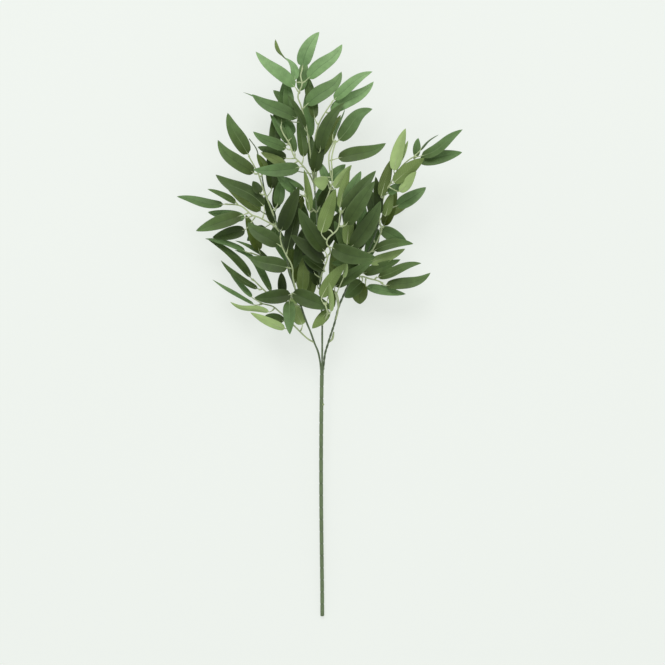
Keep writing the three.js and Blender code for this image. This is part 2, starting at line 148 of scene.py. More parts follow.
@dataclass(frozen=True)
class TwigSizes:
    """Driving dimensions of the twigs and sockets, in millimetres. Shares are of a radius."""

    seat_search_step: float = 1.0
    route_step: float = 2.0
    radius: float = 1.25
    taper_share: float = 0.16
    strand_share: float = 0.85
    sides: int = 10
    lumps_per_metre: float = 160.0
    socket_radius: float = 1.25
    socket_length: float = 4.2
    socket_top_share: float = 0.86
    socket_middle: float = 2.3
    socket_sides: int = 10
    socket_rings: int = 3


@dataclass(frozen=True)
class PetioleSizes:
    """Driving dimensions of the petioles, in millimetres. Shares are of the radius or the blade."""

    radius: float = 0.75
    step_back: float = 4.0
    floor_lift: float = 0.75
    aim_share: float = 0.12
    reach_share: float = 0.45
    root_share: float = 1.12
    root_loss: float = 0.24
    under_blade: float = 0.34
    under_share: float = 0.86
    under_loss: float = 0.66
    sink: float = 0.35
    sink_gain: float = 0.25
    steps: int = 8


@dataclass(frozen=True)
class LeafSizes:
    """Driving dimensions shared by all leaves. Shares are of the half width or the length."""

    base_roundness: float = 0.42
    tip_sharpness: float = 0.80
    end_share: float = 0.0004
    tangent_reach: float = 0.01
    arch_per_length: float = 0.05
    fold: float = 0.16
    cup: float = 0.04
    rib_thickness: float = 0.040
    rib_groove: float = 0.030
    groove_narrowness: float = 60.0
    edge_thinning: float = 0.35
    edge_wave: float = 0.06
    waves_along: float = 8.5
    wave_shift: float = 1.1
    wave_per_seed: float = 2.4
    seed_kinds: int = 37
    light_rib_every: int = 3
    floor_lift: float = 0.65
    stations: int = 22
    profile_points: int = 20


@dataclass(frozen=True)
class StemShape:
    """The form of the stems between their ends. Shares are of the radius or the length."""

    neck_narrowness: float = 900.0
    lumps_per_metre: float = 70.0
    taper_from: float = 0.55
    waist_sharpness: float = 4.0


TWIG = TwigSizes()
PETIOLE = PetioleSizes()
LEAF = LeafSizes()
STEM = StemShape()

MAIN_STEM_ROUTE: tuple[Point, ...] = (
    (4, -440, 3.1), (3.8, -400, 6), (3, -330, 12.5), (2.4, -260, 19.5),
    (2.3, -190, 27), (2.8, -120, 35), (3.6, -66, 41.6), (3.8, -60, 42.4),
)

BRANCHES: dict[Host, BranchPlan] = {
    Host.LEFT: BranchPlan(
        (
            (2, -65, 40.7), (1, -55, 41.9), (-2, -39, 45), (-8, -24, 48), (-14, -7, 51),
            (-19, 5, 53), (-35, 52, 60), (-43, 76, 64), (-47, 94, 66), (-58, 135, 68),
            (-64, 154, 68), (-74, 180, 66), (-82, 202, 62), (-86, 223, 58), (-91, 250, 52),
            (-95, 267, 49), (-106, 283, 47),
        ),
        tip_taper=0.55,
    ),
    Host.CENTRE: BranchPlan(
        (
            (3.8, -65, 43.8), (3.8, -55, 45.2), (4, -38, 49), (4, -10, 55), (4, 8, 59),
            (1, 60, 70), (-2, 112, 79), (-4, 165, 78), (-7, 203, 75), (-10, 230, 72),
        ),
    ),
    Host.RIGHT: BranchPlan(
        (
            (5.6, -65, 40.7), (6.6, -54, 42), (8.5, -40, 44), (13, -25, 47), (17, -12, 50),
            (22, 3, 53), (29, 30, 57), (38, 51, 60), (49, 75, 63), (68, 105, 66),
            (79, 127, 65), (88, 154, 62), (91, 188, 58),
        ),
        radius=1.7,
        strand_depth=0.30,
        strand_turns=55.0,
    ),
}


def floor_leaf(base: Point, tip: Point, width: float) -> Leaf:
    """A leaf that lies flat on the table.

    Args:
        base: Where the blade begins.
        tip: Where the blade ends.
        width: Its greatest width.

    Returns:
        The leaf, in a light tone, since it lies in the shade of the others.
    """
    return Leaf(base, tip, width, tone=Tone.MOSS, on_floor=True)


SPRAYS: dict[str, SprayPlan] = {
    "crown": SprayPlan(
        Host.CENTRE,
        (
            (-9, 222, 73), (-11, 234, 78), (-14, 262, 82), (-20, 300, 88), (-25, 320, 90),
            (-28, 331, 92), (-32, 342, 92), (-31, 349, 93), (-26, 361, 94), (-28, 375, 94),
            (-25, 386, 94),
        ),
        (
            Leaf((-25, 389, 94), (0, 437, 124), 23, -5, 8, tone=Tone.CREST),
            Leaf((-17, 370, 95), (34, 422, 86), 22, 3, -12, hook=-2, tone=Tone.CROWN),
            Leaf((-37, 358, 93), (-95, 410, 98), 20, -2, 12, hook=1.5, tone=Tone.CROWN),
            Leaf((-19, 331, 93), (33, 381, 86), 24, 5, -10, hook=-2.5, tone=Tone.BRIGHT),
            Leaf((-46, 322, 84), (-49, 368, 78), 17, 0, 12, tone=Tone.FRESH),
            Leaf((-15, 284, 66), (-20, 352, 58), 18, 0, 4, tone=Tone.BRIGHT),
            Leaf((-37, 368, 90), (-66, 430, 80), 16, -2, 0, 165, hook=5, tone=Tone.CREST),
            Leaf((-29, 352, 86), (-22, 404, 46), 17, 0, 10, tone=Tone.BRIGHT),
            Leaf((-34, 318, 76), (-70, 357, 34), 18, 0, 15, tone=Tone.MID),
            Leaf((-34, 311, 88), (-101, 348, 74), 21, -3, 10, hook=1.5, tone=Tone.FRESH),
            Leaf((-22, 295, 100), (-47, 344, 112), 15, 0, 45, tone=Tone.DUSK),
            Leaf((-44, 308, 74), (-116, 353, 50), 14, 0, 70, tone=Tone.FRESH),
        ),
    ),
    "crown_right": SprayPlan(
        Host.CENTRE,
        (
            (-7, 203, 75), (-7, 222, 82), (-7, 240, 86), (-7, 262, 88), (-6, 283, 92),
            (-3, 295, 96), (0, 304, 98), (8, 318, 102), (14, 327, 103), (20, 335, 104),
        ),
        (
            Leaf((22, 338, 104), (79, 379, 114), 18, -3, -10, hook=1, tone=Tone.CROWN),
            Leaf((17, 320, 100), (81, 366, 90), 21, 4, -14, hook=-2, tone=Tone.CROWN),
            Leaf((-7, 311, 90), (-22, 384, 62), 17, 0, 12, tone=Tone.MID),
            Leaf((1, 262, 105), (37, 333, 110), 20, -7, -8, tone=Tone.DUSK),
            Leaf((-8, 230, 97), (4, 300, 97), 20, 0, 10, tone=Tone.DEEP),
            Leaf((-10, 236, 70), (-14, 291, 56), 14, 0, 6, tone=Tone.DUSK),
        ),
    ),
    "crown_left": SprayPlan(
        Host.CENTRE,
        (
            (-9, 214, 74), (-14, 226, 79), (-22, 237, 83), (-30, 246, 85), (-37, 253, 86),
            (-41, 262, 87), (-44, 272, 88), (-49, 280, 88), (-54, 288, 88), (-57, 295, 88),
            (-58, 300, 87),
        ),
        (
            Leaf((-57, 304, 82), (-53, 371, 56), 18, 0, 10, tone=Tone.FRESH),
            Leaf((-47, 274, 80), (-74, 318, 76), 14, 0, 20, tone=Tone.FRESH),
            Leaf((-37, 261, 80), (-53, 308, 72), 12, 1, 25, tone=Tone.FRESH),
            Leaf((-50, 266, 88), (-99, 291, 94), 17, -3, 12, hook=1, tone=Tone.FRESH),
            Leaf((-30, 238, 96), (-99, 234, 98), 21, -4, 8, tone=Tone.FRESH),
            Leaf((-68, 264, 68), (-66, 326, 48), 18, 0, 5, tone=Tone.DUSK),
            Leaf((-50, 252, 76), (-93, 270, 62), 16, 0, 10, tone=Tone.DUSK),
            Leaf((-50, 240, 84), (-88, 261, 74), 14, 0, 12, tone=Tone.MOSS),
            Leaf((-24, 254, 80), (-33, 312, 68), 16, 1, 15, tone=Tone.MID),
            Leaf((-39, 288, 70), (-60, 320, 54), 17, 0, 10, tone=Tone.BRIGHT),
        ),
    ),
    "heart": SprayPlan(
        Host.CENTRE,
        (
            (-3, 150, 79), (3, 168, 90), (8, 183, 100), (14, 198, 108), (19, 214, 113),
            (16, 230, 116), (14, 246, 118), (15, 258, 118), (19, 268, 118), (24, 277, 118),
        ),
        (
            Leaf((20, 284, 120), (38, 322, 130), 12, -2, 72, tone=Tone.BRIGHT),
            Leaf((29, 277, 118), (79, 323, 120), 24, -5, -10, hook=2.5, tone=Tone.FRESH),
            Leaf((28, 250, 116), (99, 273, 106), 22, 4, -8, hook=-1.5, tone=Tone.MID),
            Leaf((22, 206, 114), (48, 240, 116), 14, 0, 190, back=Back.SOFT),
            Leaf((1, 222, 124), (5, 202, 112), 22, 0, 185, back=Back.LIGHT),
            Leaf((14, 218, 100), (39, 242, 94), 16, 0, -6, tone=Tone.BRIGHT),
            Leaf((12, 214, 98), (0, 246, 92), 13, 0, 6, tone=Tone.BRIGHT),
        ),
        strands=(((19, 216, 113), (19, 232, 116), (18, 246, 118), (20, 260, 118), (25, 276, 118)),),
    ),
    "inner": SprayPlan(
        Host.CENTRE,
        ((-4, 170, 78), (-12, 178, 86), (-18, 188, 90), (-22, 198, 91)),
        (
            Leaf((-15, 172, 92), (-23, 234, 98), 13, 0, 150, back=Back.DIM),
            Leaf((-23, 203, 89), (-52, 224, 88), 10, -1, 40, tone=Tone.FRESH),
            Leaf((-37, 202, 84), (-64, 226, 86), 16, 0, 10, tone=Tone.BRIGHT),
            Leaf((-26, 196, 62), (-58, 146, 50), 20, 0, 0, tone=Tone.OLIVE),
            Leaf((0, 178, 86), (13, 212, 92), 15, 0, 10, tone=Tone.DARK),
        ),
    ),
    "left_tip": SprayPlan(
        Host.LEFT,
        (
            (-68, 166, 67), (-76, 185, 73), (-83, 202, 77), (-88, 218, 79), (-92, 230, 81),
            (-97, 239, 83), (-102, 248, 84), (-106, 255, 85),
        ),
        (
            Leaf((-98, 230, 83), (-152, 279, 84), 22, -7, 10, hook=1.5, tone=Tone.MID),
            Leaf((-107, 258, 85), (-137, 319, 92), 23, -4, 12, hook=1, tone=Tone.MID),
            Leaf((-89, 199, 80), (-100, 218, 72), 14, 0, 10, tone=Tone.DEEP),
            Leaf((-72, 207, 58), (-74, 272, 40), 18, 0, 8, tone=Tone.DEEP),
            Leaf((-80, 234, 72), (-94, 259, 66), 13, 0, 20, tone=Tone.OLIVE),
            Leaf((-63, 182, 72), (-57, 222, 66), 17, 0, 8, tone=Tone.FRESH),
        ),
    ),
    "left_upper": SprayPlan(
        Host.LEFT,
        (
            (-60, 142, 68), (-68, 151, 72), (-82, 159, 74), (-92, 164, 75), (-101, 167, 76),
            (-107, 172, 77), (-115, 179, 78), (-123, 182, 79), (-141, 183, 80),
        ),
        (
            Leaf((-144, 183, 80), (-214, 195, 72), 16, -4, 25, hook=-1.5, tone=Tone.FRESH),
            Leaf((-125, 185, 81), (-167, 205, 96), 12, 0, 35, tone=Tone.MID),
            Leaf((-117, 166, 84), (-185, 143, 80), 22, 0, 8, tone=Tone.MID),
            Leaf((-112, 163, 70), (-168, 172, 60), 17, -1, 8, tone=Tone.BRIGHT),
            Leaf((-84, 181, 70), (-156, 228, 66), 23, 1, 10, hook=2.5, tone=Tone.DUSK),
            Leaf((-112, 145, 66), (-161, 134, 60), 20, -1, 8, tone=Tone.DEEP),
        ),
    ),
    "left_middle": SprayPlan(
        Host.LEFT,
        ((-46, 88, 65), (-58, 94, 62), (-74, 101, 59), (-90, 106, 57), (-104, 111, 56)),
        (
            Leaf((-91, 114, 58), (-111, 168, 58), 18, 0, 10, tone=Tone.OLIVE),
            Leaf((-112, 113, 56), (-172, 132, 62), 14, 0, 50, tone=Tone.BRIGHT),
            Leaf((-76, 100, 52), (-127, 129, 62), 14, 0, 60, tone=Tone.MID),
        ),
    ),
    "left_lower": SprayPlan(
        Host.LEFT,
        (
            (-27, 30, 57), (-45, 36, 54), (-65, 43, 52), (-79, 51, 51), (-88, 59, 50),
            (-101, 72, 49),
        ),
        (
            Leaf((-104, 74, 49), (-168, 131, 54), 14, 4, 30, tone=Tone.DUSK),
            Leaf((-93, 57, 50), (-149, 100, 44), 13, -7, 40, tone=Tone.DUSK),
            Leaf((-73, 52, 58), (-128, 115, 44), 14, 8, 40, hook=-2.5, tone=Tone.FRESH),
            Leaf((-56, 48, 48), (-58, 82, 28), 14, 0, 8, tone=Tone.DARK),
        ),
    ),
    "left_foot": SprayPlan(
        Host.LEFT,
        (
            (-8, -24, 48), (-17, -19, 52), (-25, -12, 56), (-33, -4, 59), (-40, 3, 60),
            (-46, 9, 60), (-52, 15, 60), (-60, 22, 60), (-70, 30, 59), (-80, 33, 56),
            (-90, 35, 53),
        ),
        (
            Leaf((-76, 22, 64), (-134, 37, 72), 12, -5, 140, hook=2, back=Back.LIGHT),
            Leaf((-52, -3, 66), (-104, 21, 64), 14, -2, 165, back=Back.LIGHT),
            Leaf((-54, 8, 52), (-82, 17, 38), 15, 0, 20, tone=Tone.MID),
            Leaf((-26, 3, 60), (-46, 47, 36), 19, 0, 190, back=Back.SOFT),
            Leaf((-102, 44, 45), (-137, 84, 30), 12, -3, 45, tone=Tone.BRIGHT),
            Leaf((-99, 33, 50), (-162, 71, 42), 14, -5, 62, tone=Tone.BRIGHT),
        ),
    ),
    "left_sprout": SprayPlan(
        Host.LEFT,
        ((-32, 44, 59), (-38, 46, 66), (-43, 46, 72)),
        (
            Leaf((-45, 38, 74), (-44, -12, 98), 19, 0, 8, tone=Tone.FRESH),
            Leaf((-43, 48, 76), (-98, 43, 66), 22, -2, 8, tone=Tone.DEEP),
            Leaf((-40, 50, 78), (20, 27, 84), 25, 0, 6, tone=Tone.DUSK),
        ),
    ),
    "left_front": SprayPlan(
        Host.LEFT,
        (
            (-36, 56, 60), (-38, 65, 70), (-40, 75, 76), (-40, 85, 80), (-43, 95, 83),
            (-47, 102, 85), (-52, 111, 87), (-56, 120, 88), (-58, 128, 89), (-59, 135, 90),
        ),
        (
            Leaf((-48, 88, 85), (-106, 105, 78), 24, -3, 8, hook=1, tone=Tone.DUSK),
            Leaf((-61, 122, 92), (-107, 156, 86), 24, -3, 6, hook=1.5, tone=Tone.DUSK),
            Leaf((-57, 143, 92), (-30, 209, 96), 23, 0, -8, tone=Tone.DARK),
            Leaf((-48, 114, 82), (-30, 186, 74), 20, 0, -4, tone=Tone.DARK),
        ),
    ),
    "front_low": SprayPlan(
        Host.CENTRE,
        ((0, 66, 71), (4, 80, 84), (8, 90, 95), (11, 98, 103), (13, 106, 109)),
        (
            Leaf((8, 112, 112), (-31, 176, 116), 24, -3, 8, tone=Tone.DEEP),
            Leaf((7, 96, 105), (-43, 137, 100), 20, 0, 8, tone=Tone.DARK),
            Leaf((7, 84, 91), (-26, 106, 78), 18, 0, 8, tone=Tone.DEEP),
            Leaf((-7, 79, 83), (-25, 118, 62), 17, 0, 8, tone=Tone.SHADE),
        ),
    ),
    "front_high": SprayPlan(
        Host.CENTRE,
        (
            (0, 98, 77), (9, 103, 90), (16, 110, 104), (15, 117, 115), (11, 123, 119),
            (12, 129, 121), (16, 134, 122), (21, 138, 124), (26, 143, 126), (29, 150, 128),
            (30, 160, 130), (32, 172, 131),
        ),
        (
            Leaf((19, 117, 122), (84, 103, 118), 27, 5, 6, tone=Tone.DUSK),
            Leaf((3, 139, 128), (24, 204, 138), 22, 0, 188, back=Back.DIM),
            Leaf((40, 151, 133), (82, 215, 143), 24, 0, -8, tone=Tone.DUSK),
            Leaf((37, 178, 126), (62, 231, 116), 19, 0, -8, tone=Tone.FRESH),
            Leaf((30, 176, 130), (45, 238, 124), 14, 0, 190, back=Back.DIM),
            Leaf((35, 171, 130), (84, 231, 130), 21, 0, -8, tone=Tone.DUSK),
        ),
        stubs=(((29, 147, 128), (36, 150, 129)),),
        strands=(((12, 144, 123), (17, 142, 124), (20, 138, 124)),),
    ),
    "right_front": SprayPlan(
        Host.RIGHT,
        ((59, 92, 65), (57, 99, 80), (52, 108, 96), (48, 116, 104)),
        (
            Leaf((47, 118, 108), (91, 187, 106), 26, 5, -6, tone=Tone.DUSK),
            Leaf((41, 122, 106), (48, 186, 104), 17, 0, 190, back=Back.DIM),
            Leaf((58, 116, 88), (78, 178, 84), 19, 0, -6, tone=Tone.DEEP),
            Leaf((46, 108, 92), (22, 158, 84), 19, 0, 6, tone=Tone.MID),
        ),
    ),
    "right_tip": SprayPlan(
        Host.RIGHT,
        (
            (89, 160, 61), (91, 172, 72), (94, 185, 82), (98, 200, 91), (104, 210, 96),
            (110, 220, 100), (117, 231, 103), (126, 242, 105), (136, 250, 106), (144, 254, 106),
        ),
        (
            Leaf((152, 254, 108), (213, 293, 112), 17, 4, -15, hook=2, tone=Tone.FRESH),
            Leaf((149, 246, 103), (213, 260, 96), 21, 1, -10, tone=Tone.FRESH),
            Leaf((144, 253, 100), (148, 282, 82), 12, -1, 10, tone=Tone.FRESH),
            Leaf((150, 262, 106), (178, 286, 98), 12, -5, 78, tone=Tone.FRESH),
            Leaf((111, 214, 110), (156, 250, 124), 21, -1, 188, back=Back.DIM),
            Leaf((119, 201, 104), (144, 230, 120), 15, 1, 186, hook=1, back=Back.LIGHT),
            Leaf((111, 232, 112), (128, 294, 122), 19, -1, 190, back=Back.LIGHT),
            Leaf((113, 240, 102), (132, 277, 104), 11, 0, 140, back=Back.LIGHT),
            Leaf((92, 194, 97), (108, 250, 108), 17, 0, 190, back=Back.LOW),
            Leaf((102, 199, 89), (127, 215, 92), 14, 0, -6, tone=Tone.BRIGHT),
        ),
    ),
    "right_upper": SprayPlan(
        Host.RIGHT,
        ((90, 172, 60), (96, 174, 62), (103, 177, 64), (110, 180, 66)),
        (
            Leaf((116, 181, 68), (160, 209, 66), 21, 2, -8, tone=Tone.BRIGHT),
            Leaf((99, 166, 74), (109, 200, 84), 15, 0, 188, back=Back.DIM),
        ),
    ),
    "right_middle": SprayPlan(
        Host.RIGHT,
        (
            (70, 110, 66), (78, 113, 70), (84, 123, 73), (89, 134, 76), (93, 144, 78),
            (91, 153, 79), (89, 163, 80),
        ),
        (
            Leaf((82, 114, 70), (141, 124, 64), 16, -5, -12, tone=Tone.MID),
            Leaf((92, 147, 74), (132, 126, 54), 20, 0, 8, tone=Tone.FRESH),
            Leaf((89, 168, 82), (84, 224, 92), 15, 0, 8, tone=Tone.DARK),
        ),
        stubs=(((93, 144, 78), (96, 150, 78)), ((84, 123, 73), (82, 129, 74))),
    ),
    "right_lower": SprayPlan(
        Host.RIGHT,
        ((56, 86, 64), (64, 89, 60), (71, 90, 57)),
        (
            Leaf((75, 96, 58), (129, 117, 52), 16, 1, 170, back=Back.SOFT),
            Leaf((66, 80, 53), (122, 101, 46), 16, 0, 8, tone=Tone.MID),
            Leaf((64, 90, 54), (18, 96, 46), 18, 0, 6, tone=Tone.MID),
        ),
    ),
    "right_side": SprayPlan(
        Host.RIGHT,
        (
            (47, 71, 62), (57, 75, 62), (65, 75, 60), (75, 72, 58), (87, 69, 57), (96, 65, 56),
        ),
        (
            Leaf((88, 74, 60), (153, 95, 68), 15, -1, -15, hook=1.5, tone=Tone.MID),
            Leaf((100, 62, 56), (167, 81, 52), 18, 7, -15, hook=-1.5, tone=Tone.MID),
            Leaf((71, 60, 52), (130, 49, 44), 15, 2, -15, tone=Tone.BRIGHT),
            Leaf((64, 68, 51), (38, 44, 28), 23, 0, 6, tone=Tone.MID),
            Leaf((60, 68, 42), (61, 34, 12), 26, 0, 6, tone=Tone.OLIVE),
        ),
    ),
    "right_foot": SprayPlan(
        Host.RIGHT,
        ((24, 10, 54), (27, 20, 60), (28, 29, 67), (26, 40, 74), (23, 52, 79)),
        (
            Leaf((24, 60, 80), (80, 98, 82), 18, 0, -8, tone=Tone.MID),
            Leaf((36, 73, 92), (41, 95, 100), 8, 0, 150, back=Back.LIGHT),
        ),
        strands=(((27, 21, 61), (29, 31, 68), (28, 42, 75), (25, 52, 79)),),
    ),
    "centre_foot": SprayPlan(
        Host.CENTRE,
        ((4, 2, 57), (7, 8, 68), (10, 14, 80), (12, 21, 91), (10, 29, 95), (8, 36, 95)),
        (
            Leaf((3, 43, 94), (40, 94, 102), 19, -3, 186, back=Back.DIM),
            Leaf((14, 24, 72), (-11, -3, 84), 16, 0, 188, back=Back.DIM),
            Leaf((17, 22, 95), (14, 66, 110), 11, 0, 140, back=Back.SOFT),
            Leaf((17, 56, 70), (22, 29, 66), 12, 0, 10, tone=Tone.OLIVE),
        ),
    ),
    "back_left": SprayPlan(
        Host.LEFT,
        ((-28, 34, 57), (-29, 40, 46), (-30, 48, 38), (-31, 58, 32)),
        (
            Leaf((-35, 66, 36), (-50, 136, 44), 19, 0, 6, tone=Tone.OLIVE),
            Leaf((-26, 52, 40), (-22, 116, 44), 19, 0, 0, tone=Tone.MOSS),
            Leaf((-15, 46, 32), (-9, 112, 24), 18, 0, 0, tone=Tone.MOSS),
        ),
    ),
    "back_centre": SprayPlan(
        Host.CENTRE,
        ((3, 32, 64), (3, 40, 54), (2, 50, 46), (2, 60, 41)),
        (
            Leaf((-3, 62, 42), (-14, 130, 36), 20, 0, 4, tone=Tone.DEEP),
            Leaf((20, 68, 38), (24, 132, 28), 14, 0, -4, tone=Tone.MOSS),
        ),
    ),
    "back_high": SprayPlan(
        Host.CENTRE,
        ((-3, 132, 79), (-4, 138, 66), (-8, 144, 56), (-13, 149, 50)),
        (
            Leaf((-20, 150, 50), (-44, 212, 40), 20, 0, 4, tone=Tone.MID),
            Leaf((-18, 150, 48), (-38, 86, 52), 20, 0, 4, tone=Tone.DEEP),
            Leaf((-8, 152, 56), (2, 212, 50), 19, 0, 0, tone=Tone.FRESH),
            Leaf((3, 118, 60), (33, 174, 62), 22, 0, -4, tone=Tone.DARK),
        ),
    ),
    "back_right": SprayPlan(
        Host.RIGHT,
        ((66, 102, 66), (65, 108, 52), (62, 115, 43), (58, 121, 38)),
        (
            Leaf((54, 127, 36), (34, 190, 28), 19, 0, 4, tone=Tone.DEEP),
            Leaf((64, 124, 44), (66, 190, 38), 19, 0, 0, tone=Tone.FRESH),
            Leaf((58, 110, 46), (12, 146, 44), 19, 0, 4, tone=Tone.DEEP),
        ),
    ),
    "under_left": SprayPlan(
        Host.LEFT,
        ((-62, 148, 68), (-66, 154, 50), (-72, 162, 30), (-79, 169, 12), (-84, 172, 3)),
        (
            floor_leaf((-90, 176, 0), (-146, 219, 0), 19),
            Leaf((-70, 150, 36), (-46, 94, 14), 19, tone=Tone.FRESH),
            Leaf((-69, 155, 46), (-83, 197, 36), 14, 0, 8, tone=Tone.DEEP),
            Leaf((-82, 150, 34), (-110, 130, 26), 18, tone=Tone.DUSK),
            Leaf((-66, 178, 24), (-60, 232, 8), 16, tone=Tone.DUSK),
        ),
    ),
    "under_right": SprayPlan(
        Host.RIGHT,
        ((87, 150, 62), (89, 156, 46), (92, 162, 28), (95, 166, 12), (97, 167, 3)),
        (
            floor_leaf((103, 170, 0), (150, 203, 0), 17),
            Leaf((86, 160, 34), (72, 215, 14), 18, tone=Tone.DEEP),
            Leaf((97, 152, 44), (116, 206, 38), 18, 0, 6, tone=Tone.OLIVE),
            Leaf((86, 150, 30), (70, 96, 10), 19, tone=Tone.FRESH),
        ),
    ),
    "under_top": SprayPlan(
        Host.CENTRE,
        ((-7, 206, 74), (-6, 216, 55), (-5, 228, 36), (-4, 242, 18), (-3, 252, 3)),
        (
            floor_leaf((-1, 259, 0), (32, 322, 0), 18),
            Leaf((-36, 235, 30), (-84, 238, 14), 16, tone=Tone.OLIVE),
            Leaf((4, 222, 44), (30, 170, 20), 18, tone=Tone.MID),
        ),
    ),
}


def smooth_route(points: Sequence[Point], step: float) -> list[Vector]:
    """Runs a smooth curve through points, by the centripetal Catmull-Rom rule.

    Args:
        points: The points to pass through, in millimetres.
        step: The greatest length of one straight piece, in millimetres.

    Returns:
        Points along the curve, in millimetres.
    """
    knots = [Vector(point) for point in points]
    ends = [2 * knots[0] - knots[1]] + knots + [2 * knots[-1] - knots[-2]]
    route = [knots[0]]
    for p0, p1, p2, p3 in zip(ends, ends[1:], ends[2:], ends[3:]):
        t0 = 0.0
        t1 = t0 + (p1 - p0).length ** 0.5
        t2 = t1 + (p2 - p1).length ** 0.5
        t3 = t2 + (p3 - p2).length ** 0.5
        pieces = max(1, math.ceil((p2 - p1).length / step))
        for piece in range(1, pieces + 1):
            t = t1 + (t2 - t1) * piece / pieces
            a1 = (t1 - t) / (t1 - t0) * p0 + (t - t0) / (t1 - t0) * p1
            a2 = (t2 - t) / (t2 - t1) * p1 + (t - t1) / (t2 - t1) * p2
            a3 = (t3 - t) / (t3 - t2) * p2 + (t - t2) / (t3 - t2) * p3
            b1 = (t2 - t) / (t2 - t0) * a1 + (t - t0) / (t2 - t0) * a2
            b2 = (t3 - t) / (t3 - t1) * a2 + (t - t1) / (t3 - t1) * a3
            route.append((t2 - t) / (t2 - t1) * b1 + (t - t1) / (t2 - t1) * b2)
    return route


def face_direction(tangent: Vector, roll: float) -> Vector:
    """The way that a leaf's upper face looks.

    Args:
        tangent: The direction of the midrib.
        roll: The turn about the midrib, in degrees.

    Returns:
        A unit vector at right angles to the midrib.
    """
    up = Vector((0, 0, 1))
    face = (up - tangent * up.dot(tangent)).normalized()
    turned = face * math.cos(math.radians(roll))
    return turned + tangent.cross(face) * math.sin(math.radians(roll))


def colour_for_seen_tone(seen: tuple[int, int, int]) -> tuple[float, ...]:
    """The colour to give a surface so that it is seen as a tone under the studio light.

    Args:
        seen: The tone, in steps of 0 to 255.

    Returns:
        The colour of the surface and an alpha of one.
    """
    # the leaf tones that come in hold painted light and shade as well as print
    # from steps on a screen to amounts of light
    linear = [((step / 255 + 0.055) / 1.055) ** 2.4 for step in seen]
    veiled = zip(linear, GLOSS_VEIL)
    return (*(max(DARKEST_LEAF_COLOUR, (value - veil) / LIGHT_GAIN) for value, veil in veiled), 1.0)


@dataclass
class Midrib:
    """A leaf's midrib, worked out from its plan, in millimetres."""

    leaf: Leaf
    seed: int = 0

    @property
    def chord(self) -> Vector:
        """The straight way from the base to the tip."""
        return Vector(self.leaf.tip) - Vector(self.leaf.base)

    def point(self, along: float) -> Vector:
        """The midrib's point at a share of its length.

        Args:
            along: From 0 at the base to 1 at the tip.

        Returns:
            The point, on a bowed and arched line whose outer half hooks to one side.
        """
        chord = self.chord
        across_view = Vector((chord.y, -chord.x, 0)).normalized()
        mean_roll = (self.leaf.roll + self.leaf.last_roll) / 2
        arch = 0.0 if self.leaf.on_floor else LEAF.arch_per_length * chord.length
        face = face_direction(chord.normalized(), mean_roll)
        swell = 4 * along * (1 - along)
        hook = self.leaf.hook * math.sin(2 * math.pi * along)
        sideways = across_view * (self.leaf.bow * swell + hook)
        return Vector(self.leaf.base) + chord * along + sideways + face * arch * swell

    def tangent(self, along: float) -> Vector:
        """The midrib's direction at a share of its length."""
        reach = LEAF.tangent_reach
        return (self.point(along + reach) - self.point(along - reach)).normalized()

    def face(self, along: float) -> Vector:
        """The way that the upper face looks at a share of the length."""
        roll = self.leaf.roll + (self.leaf.last_roll - self.leaf.roll) * along
        return face_direction(self.tangent(along), roll)

    def marks(self, along: float) -> dict[str, Any]:
        """What the blade tree and the leaf material read at a point of the midrib.

        Args:
            along: From 0 at the base to 1 at the tip.

        Returns:
            The value of each attribute, with lengths in metres.
        """
        face = self.face(along)
        tip, base = self.leaf.tone.value
        return {
            "leaf_width": self.leaf.width * MM,
            "leaf_length": self.chord.length * MM,
            "leaf_seed": float(self.seed % LEAF.seed_kinds),
            "leaf_free": 0.0 if self.leaf.on_floor else 1.0,
            "leaf_left": face.cross(self.tangent(along)),
            "leaf_face": face,
            # the tip, base and underside tones carry painted shade and painted light, chosen per leaf
            "leaf_tip": colour_for_seen_tone(tip),
            "leaf_base": colour_for_seen_tone(base),
            "leaf_back": colour_for_seen_tone(self.leaf.back.value),
            # which leaves get the painted highlight along the midrib
            "rib_light": 1.0 if self.seed % LEAF.light_rib_every == 0 else 0.0,
        }


